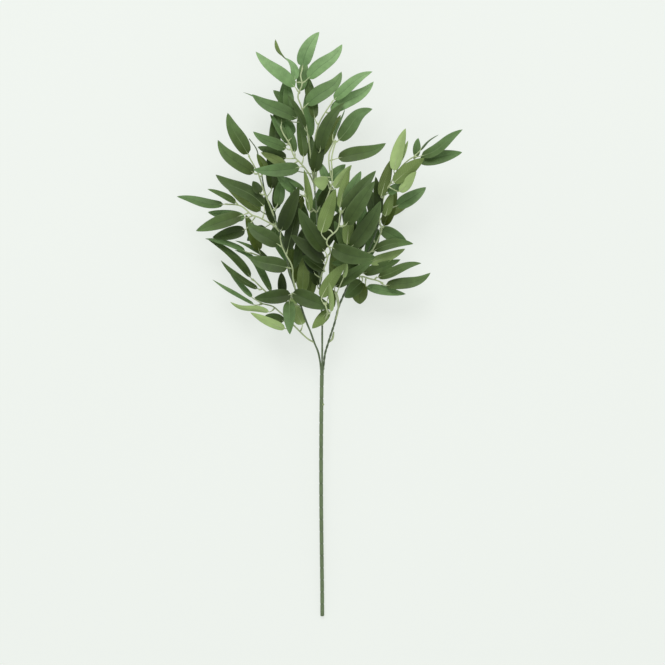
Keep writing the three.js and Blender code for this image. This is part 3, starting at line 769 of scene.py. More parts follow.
@dataclass
class Sketch:
    """A node tree that is drawn up one node at a time."""

    tree: bpy.types.NodeTree

    def feed(self, target: bpy.types.NodeSocket, value: Any) -> None:
        """Links a socket, or sets a plain value, on a node's input."""
        if isinstance(value, bpy.types.NodeSocket):
            self.tree.links.new(value, target)
        else:
            target.default_value = value

    def node(self, kind: str, feeds: dict[Any, Any] | None = None, **settings: Any) -> bpy.types.Node:
        """Adds a node, sets its properties and feeds its inputs.

        Args:
            kind: The node's type name.
            feeds: A socket or a plain value for each input, by the input's name or number.
            settings: Properties of the node.

        Returns:
            The new node.
        """
        made = self.tree.nodes.new(kind)
        for name, value in settings.items():
            setattr(made, name, value)
        for name, value in (feeds or {}).items():
            self.feed(made.inputs[name], value)
        return made

    def first(self, kind: str, feeds: dict[Any, Any] | None = None, **settings: Any) -> bpy.types.NodeSocket:
        """Adds a node and returns its first output."""
        return self.node(kind, feeds, **settings).outputs[0]

    def math(self, operation: str, *values: Any, clamp: bool = False) -> bpy.types.NodeSocket:
        """Adds a math node. With clamp its result is held between 0 and 1."""
        return self.first("ShaderNodeMath", dict(enumerate(values)), operation=operation, use_clamp=clamp)

    def times(self, product: Any, *others: Any) -> bpy.types.NodeSocket:
        """Multiplies sockets or numbers, one after the other."""
        for other in others:
            product = self.math("MULTIPLY", product, other)
        return product

    def rest_of(self, share: Any, clamp: bool = False) -> bpy.types.NodeSocket:
        """What a share leaves of one."""
        return self.math("SUBTRACT", 1.0, share, clamp=clamp)

    def scaled(self, vector: Any, share: Any) -> bpy.types.NodeSocket:
        """Scales a vector or a colour by a number."""
        return self.first("ShaderNodeVectorMath", {0: vector, "Scale": share}, operation="SCALE")

    def split(self, vector: Any) -> Sockets:
        """Parts a vector into X, Y and Z."""
        return self.node("ShaderNodeSeparateXYZ", {0: vector}).outputs

    def blend(self, share: Any, under: Any, over: Any) -> bpy.types.NodeSocket:
        """Lays a share of one colour over another. Each is a socket or three numbers."""
        feeds = {0: share, 6: as_colour(under), 7: as_colour(over)}
        return self.node("ShaderNodeMix", feeds, data_type="RGBA").outputs[2]

    def noise(self, place: Any, scale: Any, detail: float = 2.0) -> bpy.types.NodeSocket:
        """Adds a noise texture with a number of bumps in a metre, and its octaves."""
        return self.first("ShaderNodeTexNoise", {"Vector": place, "Scale": scale, "Detail": detail})

    def bulge(self, share: Any, rise: Any, fall: Any) -> bpy.types.NodeSocket:
        """A curve that leaves 0 by one power and comes back to it, at 1, by another."""
        falling = self.math("POWER", self.rest_of(share), fall)
        return self.times(self.math("POWER", share, rise), falling)

    def necks(self, length: Any, pitch: Any, narrowness: float) -> bpy.types.NodeSocket:
        """A value that is 1 at each neck of a stem and falls off to both sides.

        Args:
            length: The place along the stem.
            pitch: The length from neck to neck.
            narrowness: How fast the value falls off.

        Returns:
            The value's socket.
        """
        share = self.math("FRACT", self.math("DIVIDE", length, pitch))
        from_neck = self.math("MINIMUM", share, self.rest_of(share))
        return self.math("EXPONENT", self.times(from_neck, from_neck, -narrowness))

    def attribute(self, name: str, output: str = "Fac") -> bpy.types.NodeSocket:
        """Reads a mesh attribute in a material."""
        return self.node("ShaderNodeAttribute", attribute_name=name).outputs[output]

    def named(self, name: str, data_type: str = "FLOAT") -> bpy.types.NodeSocket:
        """Reads a named attribute in a geometry tree."""
        made = self.node("GeometryNodeInputNamedAttribute", {"Name": name}, data_type=data_type)
        return made.outputs["Attribute"]

    def store(self, geometry: Any, name: str, value: Any) -> bpy.types.NodeSocket:
        """Stores a number on the points of a geometry under a name."""
        feeds = {"Geometry": geometry, "Name": name, "Value": value}
        return self.first("GeometryNodeStoreNamedAttribute", feeds, data_type="FLOAT", domain="POINT")

    def lumps(self, scale: float, strength: Any) -> bpy.types.NodeSocket:
        """A soft unevenness about zero over the points of a geometry."""
        noise = self.noise(self.first("GeometryNodeInputPosition"), scale)
        return self.times(self.math("SUBTRACT", noise, 0.5), strength)

    def sized(self, curve: Any, radius: Any) -> bpy.types.NodeSocket:
        """Gives a curve its radius."""
        return self.first("GeometryNodeSetCurveRadius", {"Curve": curve, "Radius": radius})

    def ring(self, points: Any) -> bpy.types.NodeSocket:
        """A circle of radius one, to be a profile."""
        feeds = {"Resolution": points, "Radius": 1.0}
        return self.first("GeometryNodeCurvePrimitiveCircle", feeds, mode="RADIUS")

    def placed(self, geometry: Any, place: Any) -> bpy.types.NodeSocket:
        """Puts the points of a geometry at a place."""
        return self.first("GeometryNodeSetPosition", {"Geometry": geometry, "Position": place})

    def sweep(self, curve: Any, profile: Any, radius: Any) -> bpy.types.NodeSocket:
        """Draws a tube with closed ends along a curve."""
        feeds = {"Curve": curve, "Profile Curve": profile, "Fill Caps": True, "Scale": radius}
        return self.first("GeometryNodeCurveToMesh", feeds)


def as_colour(value: Any) -> Any:
    """Gives a plain colour its alpha, and leaves a socket alone."""
    return value if isinstance(value, bpy.types.NodeSocket) else (*value, 1.0)


def geometry_tree(name: str, inputs: dict[str, Any]) -> tuple[Sketch, Sockets]:
    """Starts a geometry tree with named inputs.

    Args:
        name: The tree's name.
        inputs: The default of each named input. A material's default is None.

    Returns:
        The sketch, and the inputs' sockets by name.
    """
    sketch = Sketch(bpy.data.node_groups.new(name, "GeometryNodeTree"))
    sockets = sketch.tree.interface
    for way in ("INPUT", "OUTPUT"):
        sockets.new_socket("Geometry", in_out=way, socket_type="NodeSocketGeometry")
    for label, default in inputs.items():
        kind = {int: "Int", float: "Float"}.get(type(default), "Material")
        socket = sockets.new_socket(label, in_out="INPUT", socket_type=f"NodeSocket{kind}")
        if default is not None:
            socket.default_value = default
    return sketch, sketch.node("NodeGroupInput").outputs


def end_tree(sketch: Sketch, geometry: Any, material: Any) -> bpy.types.NodeTree:
    """Ends a geometry tree in smooth shading, real meshes and a material.

    Args:
        sketch: The tree.
        geometry: The last geometry's socket.
        material: The material's socket.

    Returns:
        The finished tree.
    """
    smooth = sketch.first("GeometryNodeSetShadeSmooth", {"Geometry": geometry})
    real = sketch.first("GeometryNodeRealizeInstances", {"Geometry": smooth})
    dressed = sketch.first("GeometryNodeSetMaterial", {"Geometry": real, "Material": material})
    sketch.node("NodeGroupOutput", {"Geometry": dressed})
    return sketch.tree


def leaf_tree() -> bpy.types.NodeTree:
    """Draws the tree that turns midribs into leaf blades.

    Returns:
        A tree that reads leaf_width, leaf_left and leaf_face on the points of the midribs.
    """
    sketch, given = geometry_tree(
        "leaf_blades",
        {
            "Base Roundness": LEAF.base_roundness,
            "Tip Sharpness": LEAF.tip_sharpness,
            "Fold": LEAF.fold,
            "Cup": LEAF.cup,
            "Rib Thickness": LEAF.rib_thickness,
            "Rib Groove": LEAF.rib_groove,
            "Edge Wave": LEAF.edge_wave,
            "Profile Points": LEAF.profile_points,
            "Material": None,
        },
    )
    curve = sketch.first("GeometryNodeMeshToCurve", {"Mesh": given["Geometry"]})
    along = sketch.first("GeometryNodeSplineParameter")
    lines = sketch.store(curve, "along", along)

    # the outline
    rise = given["Base Roundness"]
    fall = given["Tip Sharpness"]
    inside = sketch.math("MAXIMUM", along, LEAF.end_share)
    inside = sketch.math("MINIMUM", inside, 1.0 - LEAF.end_share)
    widest_at = sketch.math("DIVIDE", rise, sketch.math("ADD", rise, fall))
    widest = sketch.bulge(widest_at, rise, fall)
    outline = sketch.math("DIVIDE", sketch.bulge(inside, rise, fall), widest)
    radius = sketch.times(outline, sketch.times(sketch.named("leaf_width"), 0.5))
    left = sketch.named("leaf_left", "FLOAT_VECTOR")
    feeds = {"Curve": sketch.sized(lines, radius), "Normal": left}
    turned = sketch.first("GeometryNodeSetCurveNormal", feeds, mode="FREE")
    kept = sketch.store(turned, "half_width", radius)

    # the cross section
    parts = sketch.split(sketch.first("GeometryNodeInputPosition"))
    inward = sketch.math("POWER", sketch.math("ABSOLUTE", parts["X"]), LEAF.edge_thinning)
    x = sketch.times(parts["X"], inward)
    fold = sketch.times(sketch.math("ABSOLUTE", x), given["Fold"])
    lift = sketch.math("ADD", fold, sketch.times(x, x, given["Cup"]))
    thick = sketch.times(parts["Y"], given["Rib Thickness"])
    near_rib = sketch.math("EXPONENT", sketch.times(x, x, -LEAF.groove_narrowness))
    groove = sketch.times(near_rib, given["Rib Groove"])
    y = sketch.math("SUBTRACT", sketch.math("ADD", lift, thick), groove)
    section = sketch.first("ShaderNodeCombineXYZ", {"X": x, "Y": y})
    marked = sketch.store(sketch.ring(given["Profile Points"]), "across", x)
    marked = sketch.store(marked, "underside", sketch.times(parts["Y"], -1.0))
    blade = sketch.sweep(kept, sketch.placed(marked, section), radius)

    # the wavy edge
    across = sketch.named("across")
    phase = sketch.times(sketch.named("leaf_seed"), LEAF.wave_per_seed)
    turn = sketch.math("MULTIPLY_ADD", sketch.named("along"), LEAF.waves_along, phase)
    side_turn = sketch.math("MULTIPLY_ADD", across, LEAF.wave_shift, turn)
    wave = sketch.times(sketch.math("SINE", side_turn), given["Edge Wave"], sketch.named("half_width"))
    wave = sketch.times(wave, sketch.times(across, across), sketch.named("leaf_free"))
    shift = sketch.scaled(sketch.named("leaf_face", "FLOAT_VECTOR"), wave)
    waved = sketch.first("GeometryNodeSetPosition", {"Geometry": blade, "Offset": shift})
    return end_tree(sketch, waved, given["Material"])


def twig_tree() -> bpy.types.NodeTree:
    """Draws the tree that turns routes into moulded tubes and puts a socket at each marked point.

    Returns:
        A tree that reads tube_radius on every point and socket_axis on loose points.
    """
    sketch, given = geometry_tree(
        "moulded_tubes",
        {
            "Sides": 12,
            "Unevenness": 0.10,
            "Socket Radius": TWIG.socket_radius * MM,
            "Socket Length": TWIG.socket_length * MM,
            "Material": None,
        },
    )
    is_socket = sketch.math("GREATER_THAN", sketch.named("is_socket"), 0.5)
    feeds = {"Geometry": given["Geometry"], "Selection": is_socket}
    sorted_out = sketch.node("GeometryNodeSeparateGeometry", feeds, domain="POINT").outputs
    curve = sketch.first("GeometryNodeMeshToCurve", {"Mesh": sorted_out["Inverted"]})
    uneven = sketch.lumps(TWIG.lumps_per_metre, given["Unevenness"])
    swell = sketch.math("ADD", 1.0, sketch.times(uneven, 2.0))
    radius = sketch.times(sketch.named("tube_radius"), swell)
    tube = sketch.sweep(sketch.sized(curve, radius), sketch.ring(given["Sides"]), radius)

    # the sockets
    collar = sketch.first("GeometryNodeMeshCone", {
        "Vertices": TWIG.socket_sides,
        "Side Segments": TWIG.socket_rings,
        "Depth": given["Socket Length"],
        "Radius Bottom": given["Socket Radius"],
        "Radius Top": sketch.times(given["Socket Radius"], TWIG.socket_top_share),
    }, fill_type="NGON")
    axis = sketch.named("socket_axis", "FLOAT_VECTOR")
    aim = sketch.first("FunctionNodeAlignRotationToVector", {"Vector": axis}, axis="Z")
    feeds = {"Points": sorted_out["Selection"], "Instance": collar, "Rotation": aim}
    sockets = sketch.first("GeometryNodeInstanceOnPoints", feeds)
    joined = sketch.node("GeometryNodeJoinGeometry", {"Geometry": sockets})
    sketch.feed(joined.inputs["Geometry"], tube)
    return end_tree(sketch, joined.outputs[0], given["Material"])


def stem_tree() -> bpy.types.NodeTree:
    """Draws the tree that makes a stem with moulded segments, or two strands wound together.

    Returns:
        A tree whose inputs give the radius, the pitch and depth of the necks, and the strands.
    """
    sketch, given = geometry_tree(
        "moulded_stem",
        {
            "Radius": 0.0028,
            "Point Spacing": 0.0008,
            "Segment Length": 0.0185,
            "Neck Depth": 0.09,
            "Strand Depth": 0.0,
            "Strand Turns": 0.0,
            "Tip Taper": 1.0,
            "Unevenness": 0.05,
            "Sides": 20,
            "Material": None,
        },
    )
    curve = sketch.first("GeometryNodeMeshToCurve", {"Mesh": given["Geometry"]})
    feeds = {"Curve": curve, "Length": given["Point Spacing"]}
    even = sketch.first("GeometryNodeResampleCurve", feeds, mode="LENGTH")
    spline = sketch.node("GeometryNodeSplineParameter").outputs
    length = spline["Length"]
    neck = sketch.necks(length, given["Segment Length"], STEM.neck_narrowness)
    uneven = sketch.math("ADD", 1.0, sketch.lumps(STEM.lumps_per_metre, given["Unevenness"]))
    swell = sketch.math("SUBTRACT", uneven, sketch.times(neck, given["Neck Depth"]))
    taper = sketch.first("ShaderNodeMapRange", {
        "Value": spline["Factor"],
        "From Min": STEM.taper_from,
        "To Min": 1.0,
        "To Max": given["Tip Taper"],
    })
    radius = sketch.times(given["Radius"], swell, taper)
    sized = sketch.sized(sketch.store(even, "stem_place", length), radius)
    turns = sketch.times(length, given["Strand Turns"], 2 * math.pi)
    tilted = sketch.first("GeometryNodeSetCurveTilt", {"Curve": sized, "Tilt": turns})

    # the waist between the strands
    place = sketch.first("GeometryNodeInputPosition")
    from_middle = sketch.math("ABSOLUTE", sketch.split(place)["Y"])
    waist = sketch.times(sketch.math("POWER", from_middle, STEM.waist_sharpness), given["Strand Depth"])
    marked = sketch.store(sketch.ring(given["Sides"]), "strand_gap", waist)
    profile = sketch.placed(marked, sketch.scaled(place, sketch.rest_of(waist)))
    return end_tree(sketch, sketch.sweep(tilted, profile, radius), given["Material"])


def run_tree(source: bpy.types.Object, tree: bpy.types.NodeTree, inputs: dict[str, Any]) -> None:
    """Runs a geometry tree on an object and keeps its result as a plain mesh.

    Args:
        source: The object, whose mesh is replaced by the result.
        tree: The geometry tree.
        inputs: Values of the tree's named inputs.
    """
    modifier = source.modifiers.new(tree.name, "NODES")
    modifier.node_group = tree
    identifiers = {
        item.name: item.identifier
        for item in tree.interface.items_tree
        if item.item_type == "SOCKET" and item.in_out == "INPUT"
    }
    for name, value in inputs.items():
        modifier[identifiers[name]] = value
    graph = bpy.context.evaluated_depsgraph_get()
    graph.update()
    made = bpy.data.meshes.new_from_object(source.evaluated_get(graph))
    source.modifiers.remove(modifier)
    old = source.data
    source.data = made
    made.name = source.name
    bpy.data.meshes.remove(old)


def put_in_scene(name: str, data: Any) -> bpy.types.Object:
    """Makes an object of a mesh, a light or a camera, and links it to the scene.

    Args:
        name: The object's name.
        data: What it shows.

    Returns:
        The object.
    """
    made = bpy.data.objects.new(name, data)
    bpy.context.scene.collection.objects.link(made)
    return made


def line_object(
    name: str, lines: Sequence[Sequence[Vector]], loose: Sequence[Vector] = ()
) -> bpy.types.Object:
    """Makes an object whose mesh is open lines and loose points.

    Args:
        name: The object's name.
        lines: The points of each line, in millimetres.
        loose: Further points that no line uses, in millimetres.

    Returns:
        The object, linked to the scene, in metres.
    """
    points: list[Vector] = []
    edges: list[tuple[int, int]] = []
    for line in lines:
        first = len(points)
        points.extend(line)
        edges.extend((first + step, first + step + 1) for step in range(len(line) - 1))
    points.extend(loose)
    mesh = bpy.data.meshes.new(name)
    mesh.from_pydata([point * MM for point in points], edges, [])
    return put_in_scene(name, mesh)


def put_attribute(target: bpy.types.Object, name: str, values: Sequence[Any]) -> None:
    """Stores a value on each point of an object's mesh.

    Args:
        target: The object.
        name: The attribute's name.
        values: For each point a number, three numbers of a vector or four of a colour.
    """
    rows = [(value,) if isinstance(value, float) else tuple(value) for value in values]
    kinds = {1: ("FLOAT", "value"), 3: ("FLOAT_VECTOR", "vector"), 4: ("FLOAT_COLOR", "color")}
    kind, field_name = kinds[len(rows[0])]
    attribute = target.data.attributes.new(name, kind, "POINT")
    attribute.data.foreach_set(field_name, [number for row in rows for number in row])


def mottle_group() -> bpy.types.NodeTree:
    """Draws the shader group that varies a colour in soft patches and fine specks.

    Returns:
        A group that takes a colour, the scale and strength of the patches, and coordinates.
    """
    sketch = Sketch(bpy.data.node_groups.new("mottle", "ShaderNodeTree"))
    for label, kind, way in (
        ("Colour", "Color", "INPUT"),
        ("Patch Scale", "Float", "INPUT"),
        ("Strength", "Float", "INPUT"),
        ("Place", "Vector", "INPUT"),
        ("Colour", "Color", "OUTPUT"),
        ("Patch", "Float", "OUTPUT"),
    ):
        sketch.tree.interface.new_socket(label, in_out=way, socket_type=f"NodeSocket{kind}")
    given = sketch.node("NodeGroupInput").outputs
    patch = sketch.noise(given["Place"], given["Patch Scale"], FINE_DETAIL)
    gain = sketch.times(sketch.math("SUBTRACT", patch, 0.5), 2.0, given["Strength"])
    tinted = sketch.scaled(given["Colour"], sketch.math("ADD", 1.0, gain))
    sketch.node("NodeGroupOutput", {"Colour": tinted, "Patch": patch})
    return sketch.tree


@dataclass
class Surface:
    """A new material: its node sketch, its shader, and the shared group that varies colours."""

    name: str
    mottle: bpy.types.NodeTree | None = None
    material: bpy.types.Material = field(init=False)
    sketch: Sketch = field(init=False)
    shader: bpy.types.Node = field(init=False)

    def __post_init__(self) -> None:
        """Makes the material."""
        self.material = bpy.data.materials.new(self.name)
        self.material.use_nodes = True
        self.sketch = Sketch(self.material.node_tree)
        self.shader = self.material.node_tree.nodes["Principled BSDF"]

    def feed(self, feeds: dict[str, Any]) -> None:
        """Feeds the shader's inputs by name."""
        for name, value in feeds.items():
            self.sketch.feed(self.shader.inputs[name], value)

    def varied(self, colour: Any, scale: float, strength: float, place: Any) -> Sockets:
        """Varies a colour in patches, and returns the outputs Colour and Patch."""
        feeds = {"Colour": colour, "Patch Scale": scale, "Strength": strength, "Place": place}
        return self.sketch.node("ShaderNodeGroup", feeds, node_tree=self.mottle).outputs

    def relief(self, height: Any, strength: float, depth: float) -> bpy.types.NodeSocket:
        """Turns a height into a normal, with a depth in metres."""
        feeds = {"Strength": strength, "Distance": depth, "Height": height}
        return self.sketch.first("ShaderNodeBump", feeds)


@dataclass(frozen=True)
class LeafFinish:
    """Printed woven fabric with a pressed midrib and side veins. Its colours also hold painted sheen,
    painted highlights and painted shade.
    """

    name: str = "leaf_fabric"
    vein_dark: Colour = (0.016, 0.034, 0.010)
    # painted highlight colour for the light midrib line and the light rim along the edges
    painted_highlight: Colour = (0.26, 0.36, 0.17)
    streak_light: Colour = (0.42, 0.50, 0.26)
    midrib_share: float = 0.030
    roughness: float = 0.50
    rough_spread: float = 0.16
    under_rougher: float = 0.12
    gloss: float = 0.22
    threads_per_metre: float = 1500.0
    veins_per_metre: float = 240.0
    vein_slant: float = 1.3
    vein_sharpness: float = 6.0
    edge_sharpness: float = 8.0
    tip_gain: float = 1.25
    tip_start: float = 0.05
    clouds_per_metre: float = 38.0
    cloud_spread: float = 0.9
    upper_patches: tuple[float, float] = (110.0, 0.30)
    under_patches: tuple[float, float] = (60.0, 0.28)
    vein_share: float = 0.10
    dark_rib_share: float = 0.45
    light_rib_share: float = 0.60
    light_rib_fade: float = 1.1
    edge_share: float = 0.16
    streak_share: float = 0.14
    thread_height: float = 0.05
    vein_depth: float = 0.5
    rib_depth: float = 1.2
    relief_strength: float = 0.6
    relief_depth: float = 0.0002

    def material(self, mottle: bpy.types.NodeTree) -> bpy.types.Material:
        """Draws the leaf material.

        Args:
            mottle: The group that varies a colour.

        Returns:
            The material.
        """
        surface = Surface(self.name, mottle)
        sketch = surface.sketch
        across = sketch.attribute("across")
        along = sketch.attribute("along")
        side = sketch.times(across, sketch.attribute("half_width"))
        down = sketch.times(along, sketch.attribute("leaf_length"))
        seed = sketch.attribute("leaf_seed")
        place = sketch.first("ShaderNodeCombineXYZ", {"X": side, "Y": down, "Z": seed})

        # the upper face: print, with painted light and shade in the per-leaf tones and a lighter, bluer tip
        # that is partly painted sheen
        clouds = sketch.noise(place, self.clouds_per_metre)
        cloudy = sketch.math("MULTIPLY_ADD", clouds, self.cloud_spread, -self.cloud_spread / 2)
        # lighter and bluer toward the tip: partly print, partly painted sheen
        fading = sketch.math("MULTIPLY_ADD", along, self.tip_gain, -self.tip_start)
        to_tip = sketch.math("ADD", fading, cloudy, clamp=True)
        tones = (sketch.attribute("leaf_base", "Color"), sketch.attribute("leaf_tip", "Color"))
        upper = surface.varied(sketch.blend(to_tip, *tones), *self.upper_patches, place)

        # the veins and the midrib, with a painted highlight along the light midribs and a painted highlight
        # rim along the edges
        off_rib = sketch.math("ABSOLUTE", across)
        slant = sketch.times(sketch.math("ABSOLUTE", side), self.vein_slant)
        slanted = sketch.math("SUBTRACT", down, slant)
        beat = sketch.math("SINE", sketch.times(slanted, self.veins_per_metre * 2 * math.pi))
        veins = sketch.math("MULTIPLY_ADD", beat, 0.5, 0.5)
        veins = sketch.math("POWER", veins, self.vein_sharpness)
        rib = sketch.rest_of(sketch.math("DIVIDE", off_rib, self.midrib_share * 2.0), clamp=True)
        fade = sketch.rest_of(sketch.times(along, self.light_rib_fade), clamp=True)
        has_rib_highlight = sketch.attribute("rib_light")
        layers = (
            (veins, self.vein_share, self.vein_dark),
            (sketch.times(rib, sketch.rest_of(has_rib_highlight)), self.dark_rib_share, self.vein_dark),
            # painted highlight along the midrib, fading toward the tip
            (sketch.times(rib, fade, has_rib_highlight), self.light_rib_share, self.painted_highlight),
            # painted highlight rim along the edges
            (sketch.math("POWER", off_rib, self.edge_sharpness), self.edge_share, self.painted_highlight),
        )
        shaded = upper["Colour"]
        for value, share, colour in layers:
            shaded = sketch.blend(sketch.times(value, share), shaded, colour)

        # the underside, whose tone holds painted shade for undersides inside the bunch
        lower = surface.varied(sketch.attribute("leaf_back", "Color"), *self.under_patches, place)
        streak = sketch.times(sketch.math("ADD", veins, rib), self.streak_share)
        below = sketch.blend(streak, lower["Colour"], self.streak_light)
        is_under = sketch.math("GREATER_THAN", sketch.attribute("underside"), 0.0)
        least_rough = self.roughness - self.rough_spread / 2
        rough = sketch.math("MULTIPLY_ADD", upper["Patch"], self.rough_spread, least_rough)

        # the weave, with the veins and the midrib pressed in
        thread_turn = self.threads_per_metre * 2 * math.pi
        warp = sketch.math("SINE", sketch.times(side, thread_turn))
        weft = sketch.math("SINE", sketch.times(down, thread_turn))
        weave = sketch.times(sketch.math("ADD", warp, weft), self.thread_height)
        height = sketch.math("ADD", weave, sketch.times(veins, -self.vein_depth))
        height = sketch.math("ADD", height, sketch.times(rib, -self.rib_depth))
        surface.feed({
            "Base Color": sketch.blend(is_under, shaded, below),
            "Roughness": sketch.math("MULTIPLY_ADD", is_under, self.under_rougher, rough),
            "Specular IOR Level": self.gloss,
            "Normal": surface.relief(height, self.relief_strength, self.relief_depth),
        })
        return surface.material


@dataclass(frozen=True)
class Moulding:
    """How moulded plastic varies: its patches, its gloss and its fine grain."""

    patches: tuple[float, float]
    roughness: float
    grains_per_metre: float
    grain_depth: float
    rough_spread: float = 0.2
    grain_strength: float = 0.5

    def dress(self, surface: Surface, base: Any, place: Any) -> bpy.types.Material:
        """Gives a material its varied colour, its gloss and its grain.

        Args:
            surface: The material.
            base: Its colour.
            place: The coordinates that the patches and grains follow.

        Returns:
            The finished material.
        """
        varied = surface.varied(base, *self.patches, place)
        least_rough = self.roughness - self.rough_spread / 2
        rough = surface.sketch.math("MULTIPLY_ADD", varied["Patch"], self.rough_spread, least_rough)
        grain = surface.sketch.noise(place, self.grains_per_metre, FINE_DETAIL)
        surface.feed({
            "Base Color": varied["Colour"],
            "Roughness": rough,
            "Normal": surface.relief(grain, self.grain_strength, self.grain_depth),
        })
        return surface.material


@dataclass(frozen=True)
class TwigFinish:
    """Pale satin plastic, greener in patches, with painted shade that makes it greener low down, and mould
    specks.
    """

    name: str = "twig_plastic"
    pale: Colour = (0.47, 0.54, 0.30)
    # the green of the patches, also the colour of the painted shade low down
    green: Colour = (0.19, 0.26, 0.09)
    greens_per_metre: float = 28.0
    green_gain: float = 2.4
    green_start: float = 0.85
    green_share: float = 0.6
    shade_fade_per_metre: float = 12.5
    moulding: Moulding = Moulding((260.0, 0.22), 0.42, 700.0, 0.0003)

    def material(self, mottle: bpy.types.NodeTree) -> bpy.types.Material:
        """Draws the twig material.

        Args:
            mottle: The group that varies a colour.

        Returns:
            The material.
        """
        surface = Surface(self.name, mottle)
        sketch = surface.sketch
        place = sketch.node("ShaderNodeTexCoord").outputs["Object"]
        greens = sketch.noise(place, self.greens_per_metre)
        greener = sketch.math("MULTIPLY_ADD", greens, self.green_gain, -self.green_start, clamp=True)
        # painted shade: greener toward the floor, under the leaves, gone by 80 mm up
        low_shade = sketch.rest_of(sketch.times(sketch.split(place)["Z"], self.shade_fade_per_metre), clamp=True)
        share = sketch.math("MAXIMUM", sketch.times(greener, self.green_share), low_shade)
        return self.moulding.dress(surface, sketch.blend(share, self.pale, self.green), place)


@dataclass(frozen=True)
class StemFinish:
    """Dull green satin plastic, darker in its necks, with painted shade in the creases between its strands.
    """

    name: str
    light: Colour
    dark: Colour
    segment_length: float = 0.0185
    neck_narrowness: float = 500.0
    neck_share: float = 0.5
    strand_shade_gain: float = 3.0
    moulding: Moulding = Moulding((120.0, 0.35), 0.46, 500.0, 0.0004)

    def material(self, mottle: bpy.types.NodeTree) -> bpy.types.Material:
        """Draws the stem material.

        Args:
            mottle: The group that varies a colour.

        Returns:
            The material.
        """
        surface = Surface(self.name, mottle)
        sketch = surface.sketch
        place = sketch.node("ShaderNodeTexCoord").outputs["Object"]
        neck = sketch.necks(sketch.attribute("stem_place"), self.segment_length, self.neck_narrowness)
        # painted shade in the crease between the two strands
        strand_shade = sketch.math("MULTIPLY", sketch.attribute("strand_gap"), self.strand_shade_gain, clamp=True)
        darker = sketch.math("MAXIMUM", sketch.times(neck, self.neck_share), strand_shade)
        return self.moulding.dress(surface, sketch.blend(darker, self.light, self.dark), place)


@dataclass
class Workshop:
    """The trees and materials that all the pieces share."""

    blades: bpy.types.NodeTree = field(default_factory=leaf_tree)
    tubes: bpy.types.NodeTree = field(default_factory=twig_tree)
    stems: bpy.types.NodeTree = field(default_factory=stem_tree)
    mottle: bpy.types.NodeTree = field(default_factory=mottle_group)
    leaf_cloth: bpy.types.Material = field(init=False)
    twig_plastic: bpy.types.Material = field(init=False)
    main_plastic: bpy.types.Material = field(init=False)
    branch_plastic: bpy.types.Material = field(init=False)

    def __post_init__(self) -> None:
        """Draws the materials once the colour group is there."""
        self.leaf_cloth = LeafFinish().material(self.mottle)
        self.twig_plastic = TwigFinish().material(self.mottle)
        main = StemFinish("main_stem_plastic", (0.125, 0.175, 0.080), (0.055, 0.085, 0.035))
        branch = StemFinish("branch_plastic", (0.115, 0.160, 0.078), (0.046, 0.066, 0.032))
        self.main_plastic = main.material(self.mottle)
        self.branch_plastic = branch.material(self.mottle)


def finish_piece(piece: bpy.types.Object, node: str) -> None:
    """Lets a piece stand for a node of the frame.

    Args:
        piece: The finished piece.
        node: The node that the piece replaces.
    """
    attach(piece, "root")
    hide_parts(node)
    log.info("%s: %d faces", piece.name, len(piece.data.polygons))


def build_knob(workshop: Workshop, name: str, route: list[Vector], radii: list[float], node: str) -> None:
    """Makes a small pale knob on a stem.

    Args:
        workshop: The shared trees and materials.
        name: The piece's name.
        route: The points along its middle, in millimetres.
        radii: Its radius at each point, in millimetres.
        node: The node that it belongs to.
    """
    piece = line_object(name, [route])
    put_attribute(piece, "tube_radius", [radius * MM for radius in radii])
    put_attribute(piece, "is_socket", [0.0] * len(route))
    run_tree(piece, workshop.tubes, {"Material": workshop.twig_plastic})
    finish_piece(piece, node)


@dataclass
class MainStem:
    """The main stem with its moulded segments and its pale nub."""

    workshop: Workshop
    route: tuple[Point, ...] = MAIN_STEM_ROUTE
    route_step: float = 4.0
    radius: float = 2.95
    neck_depth: float = 0.24
    nub: Point = (5.6, -118, 36)
    nub_sunk: Point = (1.6, 0, 0)
    nub_reach: Point = (1.4, 1.0, 0.4)
    nub_radius: float = 1.9
    nub_roundness: int = 4
    nub_least: float = 0.04
    nub_steps: int = 6

    def build(self) -> None:
        """Makes the stem and its nub and gives them their place in the frame."""
        piece = line_object("main_stem_plastic", [smooth_route(self.route, self.route_step)])
        run_tree(piece, self.workshop.stems, {
            "Radius": self.radius * MM,
            "Neck Depth": self.neck_depth,
            "Material": self.workshop.main_plastic,
        })
        finish_piece(piece, "main_stem")
        shares = [step / self.nub_steps for step in range(self.nub_steps + 1)]
        bottom = Vector(self.nub) - Vector(self.nub_sunk)
        top = Vector(self.nub) + Vector(self.nub_reach)
        bulges = [max(self.nub_least, 1 - share**self.nub_roundness) for share in shares]
        radii = [math.sqrt(bulge) * self.nub_radius for bulge in bulges]
        route = [bottom.lerp(top, share) for share in shares]
        build_knob(self.workshop, "main_stem_nub", route, radii, "main_stem")


